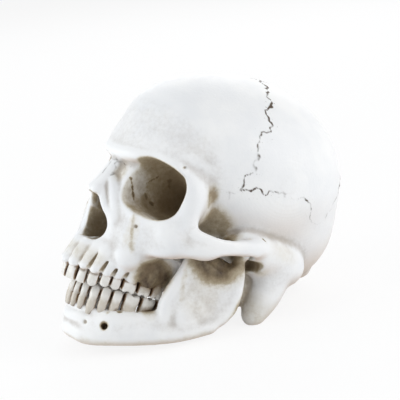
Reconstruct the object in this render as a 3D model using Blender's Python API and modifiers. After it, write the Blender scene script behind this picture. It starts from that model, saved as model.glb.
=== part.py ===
"""Anatomical skull model of life size: bones parted at their sutures, 32 teeth in sockets, a hinged jaw.

Places are written as percent of the cranial base length, basion to nasion, in the anatomical frame:
x to the skull's left, y to its back, z up, from the middle between the two ear openings.
At the end the skull is tilted face up, as it lies on its chin and its two mastoid processes.
"""
import math

import bmesh
import bpy
from mathutils import Matrix, Vector

# Driving dimensions in metres and degrees
BASE_LENGTH = 0.100
VAULT_WALL = 0.0045
SUTURE_GAP = 0.0004
SOCKET_GAP = 0.0003
TOOTH_GAP = 0.0003
OVERBITE = 0.0019
PIN_RADIUS = 0.0015
PIN_LENGTH = 0.020
PIN_GAP = 0.0003
PIN_OUTER_SHARE = 0.6
FOSSA_GAP = 0.0022
FLAT_DEPTH = 0.0014

# Fineness of the surfaces
VAULT_GRAIN = 0.0040
BONE_GRAIN = 0.0018
HOLLOW_GRAIN = 0.0020
VAULT_ROUNDS = 22
BONE_ROUNDS = 5
RIM_ROUNDS = 2
CRANIUM_FACES = 3850
JAW_FACES = 1100
BALL_STEPS = 3
ROD_SIDES = 16
OVAL_SIDES = 20
ARCH_STEPS = 400
TOOTH_SIDES = 8
TOOTH_SQUARENESS = 2.6
TILT_RANGE = (math.radians(5.0), math.radians(50.0))
TILT_FINENESS = math.radians(0.01)
SHARP_ANGLE = math.radians(50.0)

# Looks: name, colour, roughness, metallic
BONE_LOOK = ("bone_resin", (0.86, 0.87, 0.85), 0.55, 0.0)
TOOTH_LOOK = ("tooth_resin", (0.78, 0.75, 0.70), 0.4, 0.0)
PIN_LOOK = ("pin_steel", (0.6, 0.6, 0.62), 0.3, 1.0)

# Percent of the base length
UNIT_SHARE = 0.01
UNIT = BASE_LENGTH * UNIT_SHARE

# Braincase: centre and radii of its egg-shaped masses
VAULT_SHARES = (
    ((0, -34, 46), (54, 65, 54)),
    ((0, -10, 45), (67, 76, 61.5)),
    ((0, 27, 22), (55, 43, 48)),
)

# Face and base: centre and radii of the rounded masses
MASS_SHARES = (
    ((0, -76, 38), (33, 20, 16)),
    ((0, -84, 44), (36, 11, 20)),
    ((46, -66, -8.5), (11, 11, 14)),
    ((41, -72, -8), (12, 9, 11)),
    ((22, -74, -16), (19, 17, 19)),
    ((27, -80, -12), (12, 8, 12)),
    ((12, -86, -31), (13, 12.5, 11)),
    ((25, -80, -28), (11, 11, 12)),
    ((13, -86, -2), (8, 9, 16)),
    ((0, -76, 12), (13, 19, 18)),
    ((0, -40, 0), (15, 18, 13)),
    ((48, 12, -4), (13, 22, 16)),
    ((55, -3.5, -5.5), (8, 8, 8.5)),
    ((38, -18, -4), (7, 9, 7)),
    ((0, 50, -2), (30, 16, 12)),
    ((13, 8, -20), (7, 11, 8)),
    ((0, -66, -31), (25, 27, 4)),
)

# Face and base: runs of rounded bars, each point a place and a radius
BAR_SHARES = (
    (((0, -94, 32), 6.5), ((14, -93.5, 33), 6), ((27, -86.5, 34.5), 5), ((40, -77, 32), 5),
     ((49.5, -69, 25), 5)),
    (((49.5, -69, 25), 5), ((52, -65.5, 12), 5.6), ((51, -66, 0), 6)),
    (((49, -68, -1), 5), ((38, -79, -4), 4.5), ((28, -87, -4), 4.5), ((18, -90, 2), 4.5),
     ((14, -91, 12), 4.5)),
    (((14, -91, 12), 4.5), ((11, -92, 24), 5.5)),
    (((9, -96, 8), 4.5), ((14, -94, -6), 4.5), ((17, -90, -20), 5)),
    (((2, -96, 22), 4), ((2.5, -100, 12), 4), ((2.5, -105.3, 3), 3.6)),
    (((0, -90, -28), 4), ((0, -98, -29), 2)),
    (((49.5, -63.5, -14.5), 6.5), ((58, -56, -12.5), 4.3), ((63.6, -46, -9.5), 3.4), ((65.1, -34, -5.6), 3.2),
     ((63.8, -21, -1.8), 3.4), ((60, -7, 1), 5)),
    (((52, -63, -3), 6), ((59, -56, -3), 4), ((63.6, -46, -2.5), 3.4), ((65.1, -34, -0.5), 3.1),
     ((63.8, -21, 2.5), 3.3), ((58, -7, 4), 5)),
    (((60, -27, -1), 4.5), ((47, -27, -1), 5)),
    (((12, -41, -12), 4), ((14, -36, -34), 3.2)),
    (((29, -53, -28), 5.5), ((22, -41, -29), 6)),
    (((48, 13.5, -8), 12.5), ((47.5, 10.7, -26), 9.6), ((46, 8, -42.2), 6.8)),
    (((36, 2, -20), 6.5), ((35, -2, -36), 6), ((34, -4, -45), 5)),
    (((0, -30, -6), 9), ((0, -4, -16), 8)),
    (((46, -4, -6), 10), ((16, -20, -4), 7)),
    (((30, -61, 15), 21.5), ((14, -44, 12), 12)),
)

# Dental arches: half width, depth and foremost place of the middle line, heights of the rims and the bite,
# thickness of the rims, how much each of these rises a step toward the back, and how far the rims lean back
UPPER_ARCH_SHARES = {"half": 29, "deep": 55, "front": -102.5, "rim": -43.0, "rim_rise": 0.05,
                     "bite": -53.0, "bite_rise": 0.07, "thick": 4.6, "thick_rise": 0.037, "lean": 0.35}
LOWER_ARCH_SHARES = {"half": 27.2, "deep": 53, "front": -93.5, "rim": -64.5, "rim_rise": 0.06,
                     "bite": -53.5, "bite_rise": 0.07, "thick": 4.0, "thick_rise": 0.045, "lean": 0.3}
ALVEOLAR_LIFT_SHARES = (5.0, 11.5)

# Lower jaw: runs of rounded bars, each point a place and a radius
JAW_SHARES = (
    (((0, -81, -83.8), 8), ((11, -79, -83.4), 8), ((24, -69, -78.5), 7.5), ((33, -55, -72.5), 7.5),
     ((41, -37, -65), 6.5), ((46, -19.5, -55), 5.8)),
    (((0, -83.5, -76), 6.5), ((12, -81, -75), 6.5), ((23, -73, -71), 7), ((30, -60, -67), 7),
     ((37, -46, -60), 6.5), ((45, -24, -47), 5)),
    (((46, -18, -52), 5.2), ((49, -12, -40), 5), ((51, -13, -26), 4.5), ((52, -18, -10), 4)),
    (((38, -49, -60), 5.5), ((42, -49, -44), 4.8), ((45, -48, -26), 4), ((47, -48, -9), 3)),
    (((0, -85.5, -84.5), 6), ((9, -83.5, -86), 5)),
)
RAMUS_SHARES = (
    ((45, -32, -46), (5, 16, 20)),
    ((48, -30, -25), (4, 14, 14)),
)
CONDYLE_SHARES = ((52, -19, -5), (9.5, 4.5, 5))

# Hollows: orbit sections from front to back, as centre, half width, half height
ORBIT_SHARES = (
    ((40, -112, 13), 22, 19.5),
    ((34, -82, 15.5), 19, 17.2),
    ((31, -67, 15), 17, 16.5),
    ((23, -56, 13), 10.5, 11),
    ((15, -46, 12), 4, 4.5),
)
ORBIT_ROLL = math.radians(10.0)
ORBIT_SQUARENESS = 2.8
NASAL_SHARES = (
    ((5.4, -90, -17.5), (7.2, 32, 9.5)),
    ((0, -90, -7), (5.6, 30, 9)),
)
MAGNUM_SHARES = ((0, 20, -18), (14, 17, 22))
EAR_SHARES = ((72, -8, -9), (46, -8, -8), 3.6)


def place(shares, side=1):
    """A place of the anatomical frame in metres; side -1 gives its mirror image."""
    return Vector((shares[0] * side, shares[1], shares[2])) * UNIT


def sides_of(places):
    """Both sides for what lies beside the midline, one for what lies on it."""
    return (1,) if all(p[0] == 0 for p in places) else (1, -1)


def add_ball(bm, centre, radii):
    """An egg-shaped shell."""
    matrix = Matrix.Translation(centre) @ Matrix.Diagonal((*radii, 1.0))
    bmesh.ops.create_icosphere(bm, subdivisions=BALL_STEPS, radius=1.0, matrix=matrix)


def add_bar(bm, start, start_radius, end, end_radius):
    """A tapered bar with round ends."""
    add_ball(bm, start, (start_radius,) * 3)
    add_ball(bm, end, (end_radius,) * 3)
    span = end - start
    turn = span.to_track_quat("Z", "Y").to_matrix().to_4x4()
    matrix = Matrix.Translation((start + end) / 2) @ turn
    bmesh.ops.create_cone(bm, cap_ends=True, segments=ROD_SIDES, radius1=start_radius,
                          radius2=end_radius, depth=span.length, matrix=matrix)


def add_balls(bm, table, less=0.0):
    """All masses of a table on both sides, each smaller by a wall."""
    for centre, radii in table:
        for side in sides_of([centre]):
            add_ball(bm, place(centre, side), [r * UNIT - less for r in radii])


def add_bars(bm, table):
    """All runs of bars of a table on both sides."""
    for run in table:
        for side in sides_of([point for point, radius in run]):
            for (a, ra), (b, rb) in zip(run, run[1:]):
                add_bar(bm, place(a, side), ra * UNIT, place(b, side), rb * UNIT)


def to_object(name, bm):
    """An object from a bmesh, in the scene so that its modifiers can be worked out."""
    mesh = bpy.data.meshes.new(name)
    bm.to_mesh(mesh)
    bm.free()
    obj = bpy.data.objects.new(name, mesh)
    bpy.context.scene.collection.objects.link(obj)
    return obj


def settled(obj):
    """The object with its modifiers worked into its mesh."""
    graph = bpy.context.evaluated_depsgraph_get()
    mesh = bpy.data.meshes.new_from_object(obj.evaluated_get(graph))
    obj.modifiers.clear()
    old = obj.data
    obj.data = mesh
    bpy.data.meshes.remove(old)
    return obj


def blended(obj, grain, rounds):
    """Overlapping shells made one skin, with soft transitions."""
    remesh = obj.modifiers.new("one skin", "REMESH")
    remesh.mode = "VOXEL"
    remesh.voxel_size = grain
    smooth = obj.modifiers.new("soft joins", "SMOOTH")
    smooth.factor = 0.5
    smooth.iterations = rounds
    return settled(obj)


def thinned(obj, faces):
    """The same form with about the given number of triangles."""
    obj.modifiers.new("triangles", "TRIANGULATE")
    settled(obj)
    thin = obj.modifiers.new("fewer faces", "DECIMATE")
    thin.ratio = min(1.0, faces / len(obj.data.polygons))
    return settled(obj)


def cut(obj, cutter, operation="DIFFERENCE", keep=False):
    """A Boolean with another object, which is then removed unless it is kept."""
    boolean = obj.modifiers.new("cut", "BOOLEAN")
    boolean.operation = operation
    boolean.object = cutter
    settled(obj)
    if not keep:
        discard(cutter)
    return obj


def discard(obj):
    mesh = obj.data
    bpy.data.objects.remove(obj)
    bpy.data.meshes.remove(mesh)


def loft(name, rings, capped=True):
    """A skin through rings of equally many points, closed at both ends where it is capped."""
    bm = bmesh.new()
    rows = [[bm.verts.new(point) for point in ring] for ring in rings]
    for low, high in zip(rows, rows[1:]):
        for i, vert in enumerate(low):
            j = (i + 1) % len(low)
            bm.faces.new((vert, low[j], high[j], high[i]))
    if capped:
        bm.faces.new(list(reversed(rows[0])))
        bm.faces.new(rows[-1])
    bmesh.ops.recalc_face_normals(bm, faces=bm.faces)
    return to_object(name, bm)


def oval(half_width, half_height, squareness, count, roll=0.0):
    """Points of a rounded square or oval."""
    points = []
    for i in range(count):
        angle = math.tau * i / count
        c, s = math.cos(angle), math.sin(angle)
        x = half_width * math.copysign(abs(c) ** (2 / squareness), c)
        z = half_height * math.copysign(abs(s) ** (2 / squareness), s)
        points.append((x * math.cos(roll) - z * math.sin(roll), x * math.sin(roll) + z * math.cos(roll)))
    return points


def arch_point(arch, run):
    """Place and heading on a dental arch at a run from its midline, along its half oval."""
    half, deep = arch["half"] * UNIT, arch["deep"] * UNIT
    step = math.pi / ARCH_STEPS
    angle, length = 0.0, 0.0
    while length < abs(run):
        angle += step
        length += math.hypot(half * math.cos(angle), deep * math.sin(angle)) * step
    angle = math.copysign(angle, run)
    point = Vector((half * math.sin(angle), arch["front"] * UNIT + deep * (1 - math.cos(angle)), 0))
    heading = math.atan2(deep * math.sin(angle), half * math.cos(angle))
    return point, heading


def rising(arch, key, point):
    """A height or thickness of an arch at a place, which rises toward the back."""
    return arch[key] * UNIT + arch[key + "_rise"] * (point.y - arch["front"] * UNIT)


# Teeth: width along the arch, depth across it, crown height, root length, and the kind of crown
UPPER_TEETH_SHARES = (
    ("central_incisor", 8.4, 7.0, 10.5, 9.0, "blade"),
    ("lateral_incisor", 6.6, 6.2, 9.6, 9.0, "blade"),
    ("canine", 7.6, 8.0, 10.4, 10.0, "point"),
    ("first_premolar", 7.0, 8.8, 9.0, 8.5, "table"),
    ("second_premolar", 6.8, 8.8, 8.6, 8.5, "table"),
    ("first_molar", 10.0, 10.4, 8.0, 8.5, "table"),
    ("second_molar", 9.4, 10.2, 7.6, 8.0, "table"),
    ("third_molar", 8.4, 9.4, 7.2, 7.5, "table"),
)
LOWER_TEETH_SHARES = (
    ("central_incisor", 5.5, 5.8, 9.0, 8.5, "blade"),
    ("lateral_incisor", 5.9, 6.0, 9.0, 8.5, "blade"),
    ("canine", 6.9, 7.4, 9.6, 9.5, "point"),
    ("first_premolar", 7.0, 7.6, 8.4, 8.5, "table"),
    ("second_premolar", 7.1, 8.0, 8.0, 8.5, "table"),
    ("first_molar", 10.8, 9.8, 7.6, 8.5, "table"),
    ("second_molar", 10.2, 9.6, 7.4, 8.0, "table"),
    ("third_molar", 9.4, 9.0, 7.0, 7.5, "table"),
)
# Sections of a tooth: height as a share of root (below 0) or crown (above 0), shares of width and depth
ROOT_SHARES = ((-1.0, 0.34, 0.36), (-0.04, 0.66, 0.76))
CROWN_SHARES = {
    "blade": ((0.12, 0.74, 0.86), (0.55, 0.95, 0.70), (0.86, 1.0, 0.42), (1.0, 0.95, 0.26)),
    "point": ((0.12, 0.76, 0.90), (0.50, 0.96, 0.84), (0.80, 0.80, 0.52), (1.0, 0.26, 0.22)),
    "table": ((0.12, 0.80, 0.86), (0.45, 1.0, 1.0), (0.84, 0.97, 0.92), (1.0, 0.74, 0.66)),
}


def tooth_rings(spec, arch, run, upward, grow=0.0):
    """Rings of one tooth from root tip to bite, each a rounded square across the arch."""
    kind, width, depth, crown, root, form = spec
    foot, heading = arch_point(arch, run)
    along = Vector((math.cos(heading), math.sin(heading), 0))
    across = Vector((-math.sin(heading), math.cos(heading), 0))
    bite = rising(arch, "bite", foot)
    if upward > 0 and form != "table":
        bite += OVERBITE
        crown += OVERBITE / UNIT
    neck = bite - upward * crown * UNIT
    rings = []
    for height, width_share, depth_share in ROOT_SHARES + CROWN_SHARES[form]:
        reach = root if height < 0 else crown
        level = neck + upward * height * reach * UNIT
        if height == -1.0:
            level -= upward * grow
        half_width = (width * UNIT - TOOTH_GAP) / 2 * width_share + grow
        half_depth = depth * UNIT / 2 * depth_share + grow
        ring = []
        for x, y in oval(half_width, half_depth, TOOTH_SQUARENESS, TOOTH_SIDES):
            ring.append(Vector((foot.x, foot.y, level)) + along * x + across * y)
        rings.append(ring)
    return rings


def tooth(name, spec, arch, run, upward, grow=0.0):
    """One tooth as a loft, or its socket where it is grown by the socket's gap."""
    return loft(name, tooth_rings(spec, arch, run, upward, grow))


def tooth_places(table):
    """Name, sizes and run from the midline of each tooth on both sides."""
    places = []
    edge = 0.0
    for spec in table:
        middle = edge + spec[1] * UNIT / 2
        edge += spec[1] * UNIT
        places.append(("left_" + spec[0], spec, middle))
        places.append(("right_" + spec[0], spec, -middle))
    return places


def add_alveolar_rim(bm, table, arch, boneward):
    """The thick rim that carries the teeth, in two layers along the arch."""
    runs = sorted([0.0] + [run for name, spec, run in tooth_places(table)])
    for lift in ALVEOLAR_LIFT_SHARES:
        points = []
        for run in runs:
            point, heading = arch_point(arch, run)
            thick = rising(arch, "thick", point)
            point.z = rising(arch, "rim", point) + boneward * lift * UNIT
            point.y += arch["lean"] * lift * UNIT
            points.append((point, thick))
        for (a, a_thick), (b, b_thick) in zip(points, points[1:]):
            add_bar(bm, a, a_thick, b, b_thick)


def joined(name, objects):
    """Solids that don't touch, held in one cutter."""
    bm = bmesh.new()
    for obj in objects:
        bm.from_mesh(obj.data)
        discard(obj)
    return to_object(name, bm)


def ball_object(name, centre, radii):
    bm = bmesh.new()
    add_ball(bm, centre, radii)
    return to_object(name, bm)


def bar_object(name, start, end, radius):
    """A plain round bar with flat ends."""
    bm = bmesh.new()
    span = end - start
    matrix = Matrix.Translation((start + end) / 2) @ span.to_track_quat("Z", "Y").to_matrix().to_4x4()
    bmesh.ops.create_cone(bm, cap_ends=True, segments=ROD_SIDES, radius1=radius, radius2=radius,
                          depth=span.length, matrix=matrix)
    return to_object(name, bm)


def orbit_cutter(side):
    """The rounded square cone of one eye socket."""
    rings = []
    for centre, half_width, half_height in ORBIT_SHARES:
        middle = place(centre, side)
        points = oval(half_width * UNIT, half_height * UNIT, ORBIT_SQUARENESS, OVAL_SIDES, -side * ORBIT_ROLL)
        rings.append([middle + Vector((x, 0, z)) for x, z in points])
    return loft("orbit", rings)


def nasal_cutter():
    """The pear-shaped opening of the nose."""
    bm = bmesh.new()
    add_balls(bm, NASAL_SHARES)
    return blended(to_object("nasal_opening", bm), HOLLOW_GRAIN, RIM_ROUNDS)


def build_cranium():
    """All bones above the jaw as one body, hollow, with eye sockets, nose, ears and the great hole."""
    bm = bmesh.new()
    add_balls(bm, VAULT_SHARES)
    outside = blended(to_object("cranium", bm), VAULT_GRAIN, VAULT_ROUNDS)
    bm = bmesh.new()
    add_balls(bm, VAULT_SHARES, VAULT_WALL)
    inside = blended(to_object("hollow", bm), VAULT_GRAIN, VAULT_ROUNDS)
    cut(outside, inside)
    centre, radii = MAGNUM_SHARES
    cut(outside, ball_object("great_hole", place(centre), [r * UNIT for r in radii]))
    bm = bmesh.new()
    bm.from_mesh(outside.data)
    discard(outside)
    add_balls(bm, MASS_SHARES)
    add_bars(bm, BAR_SHARES)
    add_alveolar_rim(bm, UPPER_TEETH_SHARES, UPPER_ARCH_SHARES, 1)
    whole = blended(to_object("cranium", bm), BONE_GRAIN, BONE_ROUNDS)
    hollows = [nasal_cutter(), ball_object("great_hole", place(centre), [r * UNIT for r in radii])]
    for side in (1, -1):
        hollows.append(orbit_cutter(side))
        start, end, radius = EAR_SHARES
        hollows.append(bar_object("ear", place(start, side), place(end, side), radius * UNIT))
        condyle, radii_shares = CONDYLE_SHARES
        fossa = [r * UNIT + FOSSA_GAP for r in radii_shares]
        hollows.append(ball_object("fossa", place(condyle, side), fossa))
    cut(whole, joined("hollows", hollows))
    blended(whole, BONE_GRAIN, RIM_ROUNDS)
    return thinned(whole, CRANIUM_FACES)


def build_jaw():
    """The lower jaw before its sockets and bores."""
    bm = bmesh.new()
    add_bars(bm, JAW_SHARES)
    add_balls(bm, RAMUS_SHARES)
    centre, radii = CONDYLE_SHARES
    for side in (1, -1):
        add_ball(bm, place(centre, side), [r * UNIT for r in radii])
    add_alveolar_rim(bm, LOWER_TEETH_SHARES, LOWER_ARCH_SHARES, -1)
    return thinned(blended(to_object("mandible", bm), BONE_GRAIN, RIM_ROUNDS), JAW_FACES)


def clear_scene():
    for obj in list(bpy.data.objects):
        bpy.data.objects.remove(obj)
    for mesh in list(bpy.data.meshes):
        bpy.data.meshes.remove(mesh)


# Sutures of the braincase: places that their lines run through on the left side
CONE_APEX_SHARE = (0, 0, 35)
CONE_REACH_SHARES = (0.45, 0.75, 1.1, 2.3)
CORONAL_SHARES = ((0, -13, 112), (20, -17, 106), (38, -22, 92), (50, -28, 72), (58, -32, 52), (59, -36, 35))
SQUAMOUS_SHARES = ((59, -36, 35), (62, -28, 38), (66, -14, 40), (67, 2, 41), (66, 14, 35), (60, 25, 22))
LAMBDOID_SHARES = ((60, 25, 22), (52, 35, 38), (41, 44, 55), (24, 53, 70), (0, 58, 79))
SAGITTAL_SHARES = ((0, 58, 79), (0, 46, 90), (0, 30, 100), (0, 8, 108), (0, -13, 112))
SUTURE_STEP = 0.0048
SUTURE_TOOTH = 0.0011

# Regions of the other bones, as outlines that are pushed through the skull
FRONTAL_REGION_SHARES = ((-125, 24), (-84, 24), (-58, 24), (-50, 29), (-38, 35), (-8, 60), (-8, 135), (-125, 135))
NASAL_REGION_SHARES = ((0, 25), (0, -12), (6.5, -12), (6.0, 4), (4.5, 25))
NASAL_DEPTH_SHARES = (-125, -88)
ZYGOMATIC_REGION_SHARES = ((-27, 4), (-22, -8), (-13, -17), (-2, -34), (34, -34), (34, 12), (12, 25), (-15, 25))
ZYGOMATIC_AXIS = math.radians(53.0)
ZYGOMATIC_DEPTH_SHARES = (-150, -69)
MAXILLA_REGION_SHARES = ((-125, 30), (-62, 30), (-56, 16), (-54, -8), (-43, -16), (-43, -70), (-125, -70))
MAXILLA_WIDTH_SHARES = (0, 44)
TEMPORAL_REGION_SHARES = ((90, -62), (56, -44), (46, -36), (26, -30), (10, -21), (26, 2), (34, 14),
                          (44, 25), (58, 30), (90, 38))
TEMPORAL_HEIGHT_SHARES = (-80, 90)
SPHENOID_REGION_SHARES = ((-90, -110), (90, -110), (90, -23), (-90, -23))
ACROSS_SHARES = (-95, 95)


def zigzag(points, outward):
    """A saw line through places: its teeth stand sideways to the line, across an outward heading."""
    line = []
    flip = 1
    for a, b in zip(points, points[1:]):
        count = max(1, round((b - a).length / SUTURE_STEP))
        for i in range(count):
            point = a.lerp(b, i / count)
            sideways = (b - a).cross(outward(point)).normalized()
            line.append(point + sideways * SUTURE_TOOTH * flip if line else point)
            flip = -flip
    return line


def parietal_region(side):
    """A cone from inside the braincase through the four edges of a parietal bone."""
    apex = place(CONE_APEX_SHARE)

    def outward(point):
        return point - apex

    def edge(shares):
        return [place(share, side) for share in shares]
    outline = zigzag(edge(CORONAL_SHARES), outward) + edge(SQUAMOUS_SHARES)[:-1]
    outline += zigzag(edge(LAMBDOID_SHARES), outward) + zigzag(edge(SAGITTAL_SHARES), outward)
    rings = [[apex + (point - apex) * reach for point in outline] for reach in CONE_REACH_SHARES]
    return loft("parietal_region", rings, capped=False)


def pushed(name, outline, origin, first, second, push, near, far):
    """An outline in two directions, pushed along a third from near to far."""
    rings = []
    for reach in (near, far):
        rings.append([origin + (first * a + second * b + push * reach) * UNIT for a, b in outline])
    return loft(name, rings)


X_AXIS, Y_AXIS, Z_AXIS = Vector((1, 0, 0)), Vector((0, 1, 0)), Vector((0, 0, 1))


def frontal_region():
    return pushed("frontal_region", FRONTAL_REGION_SHARES, Vector(), Y_AXIS, Z_AXIS, X_AXIS, *ACROSS_SHARES)


def nasal_region(side):
    return pushed("nasal_region", NASAL_REGION_SHARES, Vector(), X_AXIS * side, Z_AXIS, Y_AXIS,
                  *NASAL_DEPTH_SHARES)


def zygomatic_region(side):
    first = Vector((math.sin(ZYGOMATIC_AXIS) * side, math.cos(ZYGOMATIC_AXIS), 0))
    push = Vector((-math.cos(ZYGOMATIC_AXIS) * side, math.sin(ZYGOMATIC_AXIS), 0))
    return pushed("zygomatic_region", ZYGOMATIC_REGION_SHARES, Vector(), first, Z_AXIS, push,
                  *ZYGOMATIC_DEPTH_SHARES)


def maxilla_region(side):
    return pushed("maxilla_region", MAXILLA_REGION_SHARES, Vector(), Y_AXIS, Z_AXIS, X_AXIS * side,
                  *MAXILLA_WIDTH_SHARES)


def temporal_region(side):
    return pushed("temporal_region", TEMPORAL_REGION_SHARES, Vector(), X_AXIS * side, Y_AXIS, Z_AXIS,
                  *TEMPORAL_HEIGHT_SHARES)


def sphenoid_region():
    return pushed("sphenoid_region", SPHENOID_REGION_SHARES, Vector(), X_AXIS, Y_AXIS, Z_AXIS,
                  *TEMPORAL_HEIGHT_SHARES)


def loose_pieces(bm):
    """Sets of faces that hang together, with the volume that each encloses."""
    seen = set()
    pieces = []
    for start in bm.faces:
        if start.index in seen:
            continue
        seen.add(start.index)
        stack, faces = [start], []
        while stack:
            face = stack.pop()
            faces.append(face)
            for edge in face.edges:
                for other in edge.link_faces:
                    if other.index not in seen:
                        seen.add(other.index)
                        stack.append(other)
        volume = 0.0
        for face in faces:
            corners = [vert.co for vert in face.verts]
            for b, c in zip(corners[1:], corners[2:]):
                volume += corners[0].dot(b.cross(c)) / 6
        pieces.append((volume, faces))
    return pieces


def part_of(name, faces):
    """A new object from some faces of a bmesh."""
    bm = bmesh.new()
    made = {}
    for face in faces:
        corners = []
        for vert in face.verts:
            if vert.index not in made:
                made[vert.index] = bm.verts.new(vert.co)
            corners.append(made[vert.index])
        bm.faces.new(corners)
    return to_object(name, bm)


def taken_out(rest, name, region, seed):
    """Parts a bone from the rest along the walls of its region; the bone is the piece nearest to a seed."""
    wall = region.modifiers.new("suture gap", "SOLIDIFY")
    wall.thickness = SUTURE_GAP
    wall.offset = 0.0
    wall.use_even_offset = True
    settled(region)
    cut(rest, region)
    bm = bmesh.new()
    bm.from_mesh(rest.data)
    bm.faces.ensure_lookup_table()
    bm.verts.index_update()
    pieces = loose_pieces(bm)

    def distance(piece):
        return min((face.calc_center_median() - seed).length for face in piece[1])
    bone_piece = min(pieces, key=distance)
    pieces.remove(bone_piece)
    rest_piece = max(pieces, key=lambda piece: piece[0])
    bone = part_of(name, bone_piece[1])
    remains = part_of(rest.name, rest_piece[1])
    bm.free()
    discard(rest)
    return bone, remains


# A place on each bone that tells it from the rest
SEED_SHARES = {
    "parietal_bone": (60, 5, 75), "nasal_bone": (3, -105, 8), "zygomatic_bone": (52, -80, -8),
    "frontal_bone": (0, -100, 60), "maxilla": (24, -92, -34), "temporal_bone": (54, 12, -44),
    "sphenoid_bone": (14, -35, -34),
}
REGIONS = (
    ("parietal_bone", parietal_region, True),
    ("nasal_bone", nasal_region, True),
    ("zygomatic_bone", zygomatic_region, True),
    ("frontal_bone", frontal_region, False),
    ("maxilla", maxilla_region, True),
    ("temporal_bone", temporal_region, True),
    ("sphenoid_bone", sphenoid_region, False),
)


def split_cranium(rest):
    """The thirteen bones above the jaw, each taken out of what the ones before it leave."""
    bones = {}
    for kind, region, paired in REGIONS:
        for side, word in ((1, "left_"), (-1, "right_")) if paired else ((1, ""),):
            cutter = region(side) if paired else region()
            seed = place(SEED_SHARES[kind], side)
            bones[word + kind], rest = taken_out(rest, word + kind, cutter, seed)
    rest.name = "occipital_bone"
    bones["occipital_bone"] = rest
    return bones


def pin_ends(side):
    """Ends of a hinge pin: the inner one in the temporal bone, the outer one in the jaw's condyle."""
    condyle, radii = CONDYLE_SHARES
    outer = place(condyle, side) + X_AXIS * side * radii[0] * UNIT * PIN_OUTER_SHARE
    return outer - X_AXIS * side * PIN_LENGTH, outer


def hinge_pin(name, side):
    inner, outer = pin_ends(side)
    return bar_object(name, inner, outer, PIN_RADIUS)


def pin_bore(side):
    """The bore round a pin, longer than it by its gap at both ends."""
    inner, outer = pin_ends(side)
    past = X_AXIS * side * PIN_GAP
    return bar_object("pin_bore", inner - past, outer + past, PIN_RADIUS + PIN_GAP)


def seat_teeth(carriers, jaw_name, table, arch, upward):
    """Makes one jaw's teeth and cuts the socket of each in the bone that carries it."""
    teeth = []
    for name, spec, run in tooth_places(table):
        side, kind = name.split("_", 1)
        socket = tooth("socket", spec, arch, run, upward, SOCKET_GAP)
        cut(carriers[side], socket)
        teeth.append(tooth(side + "_" + jaw_name + "_" + kind, spec, arch, run, upward))
    return teeth


def lowest(objects, tilt):
    """Height of the lowest corner of some objects once they are tilted face up."""
    c, s = math.cos(tilt), math.sin(tilt)
    return min(vert.co.z * c - vert.co.y * s for obj in objects for vert in obj.data.vertices)


def resting_tilt(jaw, mastoids):
    """The tilt at which chin and mastoids are level, by halving the range between two bounds."""
    low, high = TILT_RANGE
    while high - low > TILT_FINENESS:
        middle = (low + high) / 2
        if lowest([jaw], middle) < lowest(mastoids, middle):
            low = middle
        else:
            high = middle
    return low


def stand(objects, jaw, mastoids):
    """Tilts the skull, cuts the three flats that it lies on, and puts its footprint's middle at the origin."""
    tilt = resting_tilt(jaw, mastoids)
    turn = Matrix.Rotation(-tilt, 4, "X")
    for obj in objects:
        obj.data.transform(turn)
    floor = lowest(objects, 0.0) + FLAT_DEPTH
    for obj in [jaw] + mastoids:
        size = BASE_LENGTH * 2
        bm = bmesh.new()
        bmesh.ops.create_cube(bm, size=size)
        bmesh.ops.translate(bm, verts=bm.verts, vec=(0, 0, floor - size / 2))
        cut(obj, to_object("floor", bm))
    corners = [vert.co for obj in objects for vert in obj.data.vertices]
    x_middle = (min(c.x for c in corners) + max(c.x for c in corners)) / 2
    y_middle = (min(c.y for c in corners) + max(c.y for c in corners)) / 2
    shift = Matrix.Translation((-x_middle, -y_middle, -floor))
    for obj in objects:
        obj.data.transform(shift)
    return shift @ turn


def material(name, colour, roughness, metallic):
    """A plain surface of one colour."""
    made = bpy.data.materials.new(name)
    made.use_nodes = True
    made.diffuse_color = (*colour, 1.0)
    shader = made.node_tree.nodes["Principled BSDF"]
    shader.inputs["Base Color"].default_value = (*colour, 1.0)
    shader.inputs["Roughness"].default_value = roughness
    shader.inputs["Metallic"].default_value = metallic
    return made


def finish(objects, look, collection):
    """Gives each object its material and smooth shading, and files it in the collection."""
    for obj in objects:
        obj.data.materials.clear()
        obj.data.materials.append(material(obj.name + "_" + look[0], *look[1:]))
        obj.data.shade_smooth()
        obj.data.set_sharp_from_angle(angle=SHARP_ANGLE)
        bpy.context.scene.collection.objects.unlink(obj)
        collection.objects.link(obj)


def main():
    clear_scene()
    bones = split_cranium(build_cranium())
    mandible = build_jaw()
    pins = []
    for side, word in ((1, "left_"), (-1, "right_")):
        cut(bones[word + "temporal_bone"], pin_bore(side))
        cut(mandible, pin_bore(side))
        pins.append(hinge_pin(word + "jaw_pin", side))
    maxillae = {"left": bones["left_maxilla"], "right": bones["right_maxilla"]}
    upper = seat_teeth(maxillae, "upper", UPPER_TEETH_SHARES, UPPER_ARCH_SHARES, -1)
    jaws = {"left": mandible, "right": mandible}
    lower = seat_teeth(jaws, "lower", LOWER_TEETH_SHARES, LOWER_ARCH_SHARES, 1)

    everything = list(bones.values()) + [mandible] + upper + lower + pins
    mastoids = [bones["left_temporal_bone"], bones["right_temporal_bone"]]
    placed = stand(everything, mandible, mastoids)

    collection = bpy.data.collections.new("anatomical_skull_model")
    bpy.context.scene.collection.children.link(collection)
    finish(list(bones.values()) + [mandible], BONE_LOOK, collection)
    finish(upper + lower, TOOTH_LOOK, collection)
    finish(pins, PIN_LOOK, collection)

    hinge = bpy.data.objects.new("jaw_hinge", None)
    hinge.matrix_world = placed @ Matrix.Translation((0, *place(CONDYLE_SHARES[0])[1:]))
    collection.objects.link(hinge)
    bpy.context.view_layer.update()
    for obj in [mandible] + lower:
        obj.parent = hinge
        obj.matrix_parent_inverse = hinge.matrix_world.inverted()


main()
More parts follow.
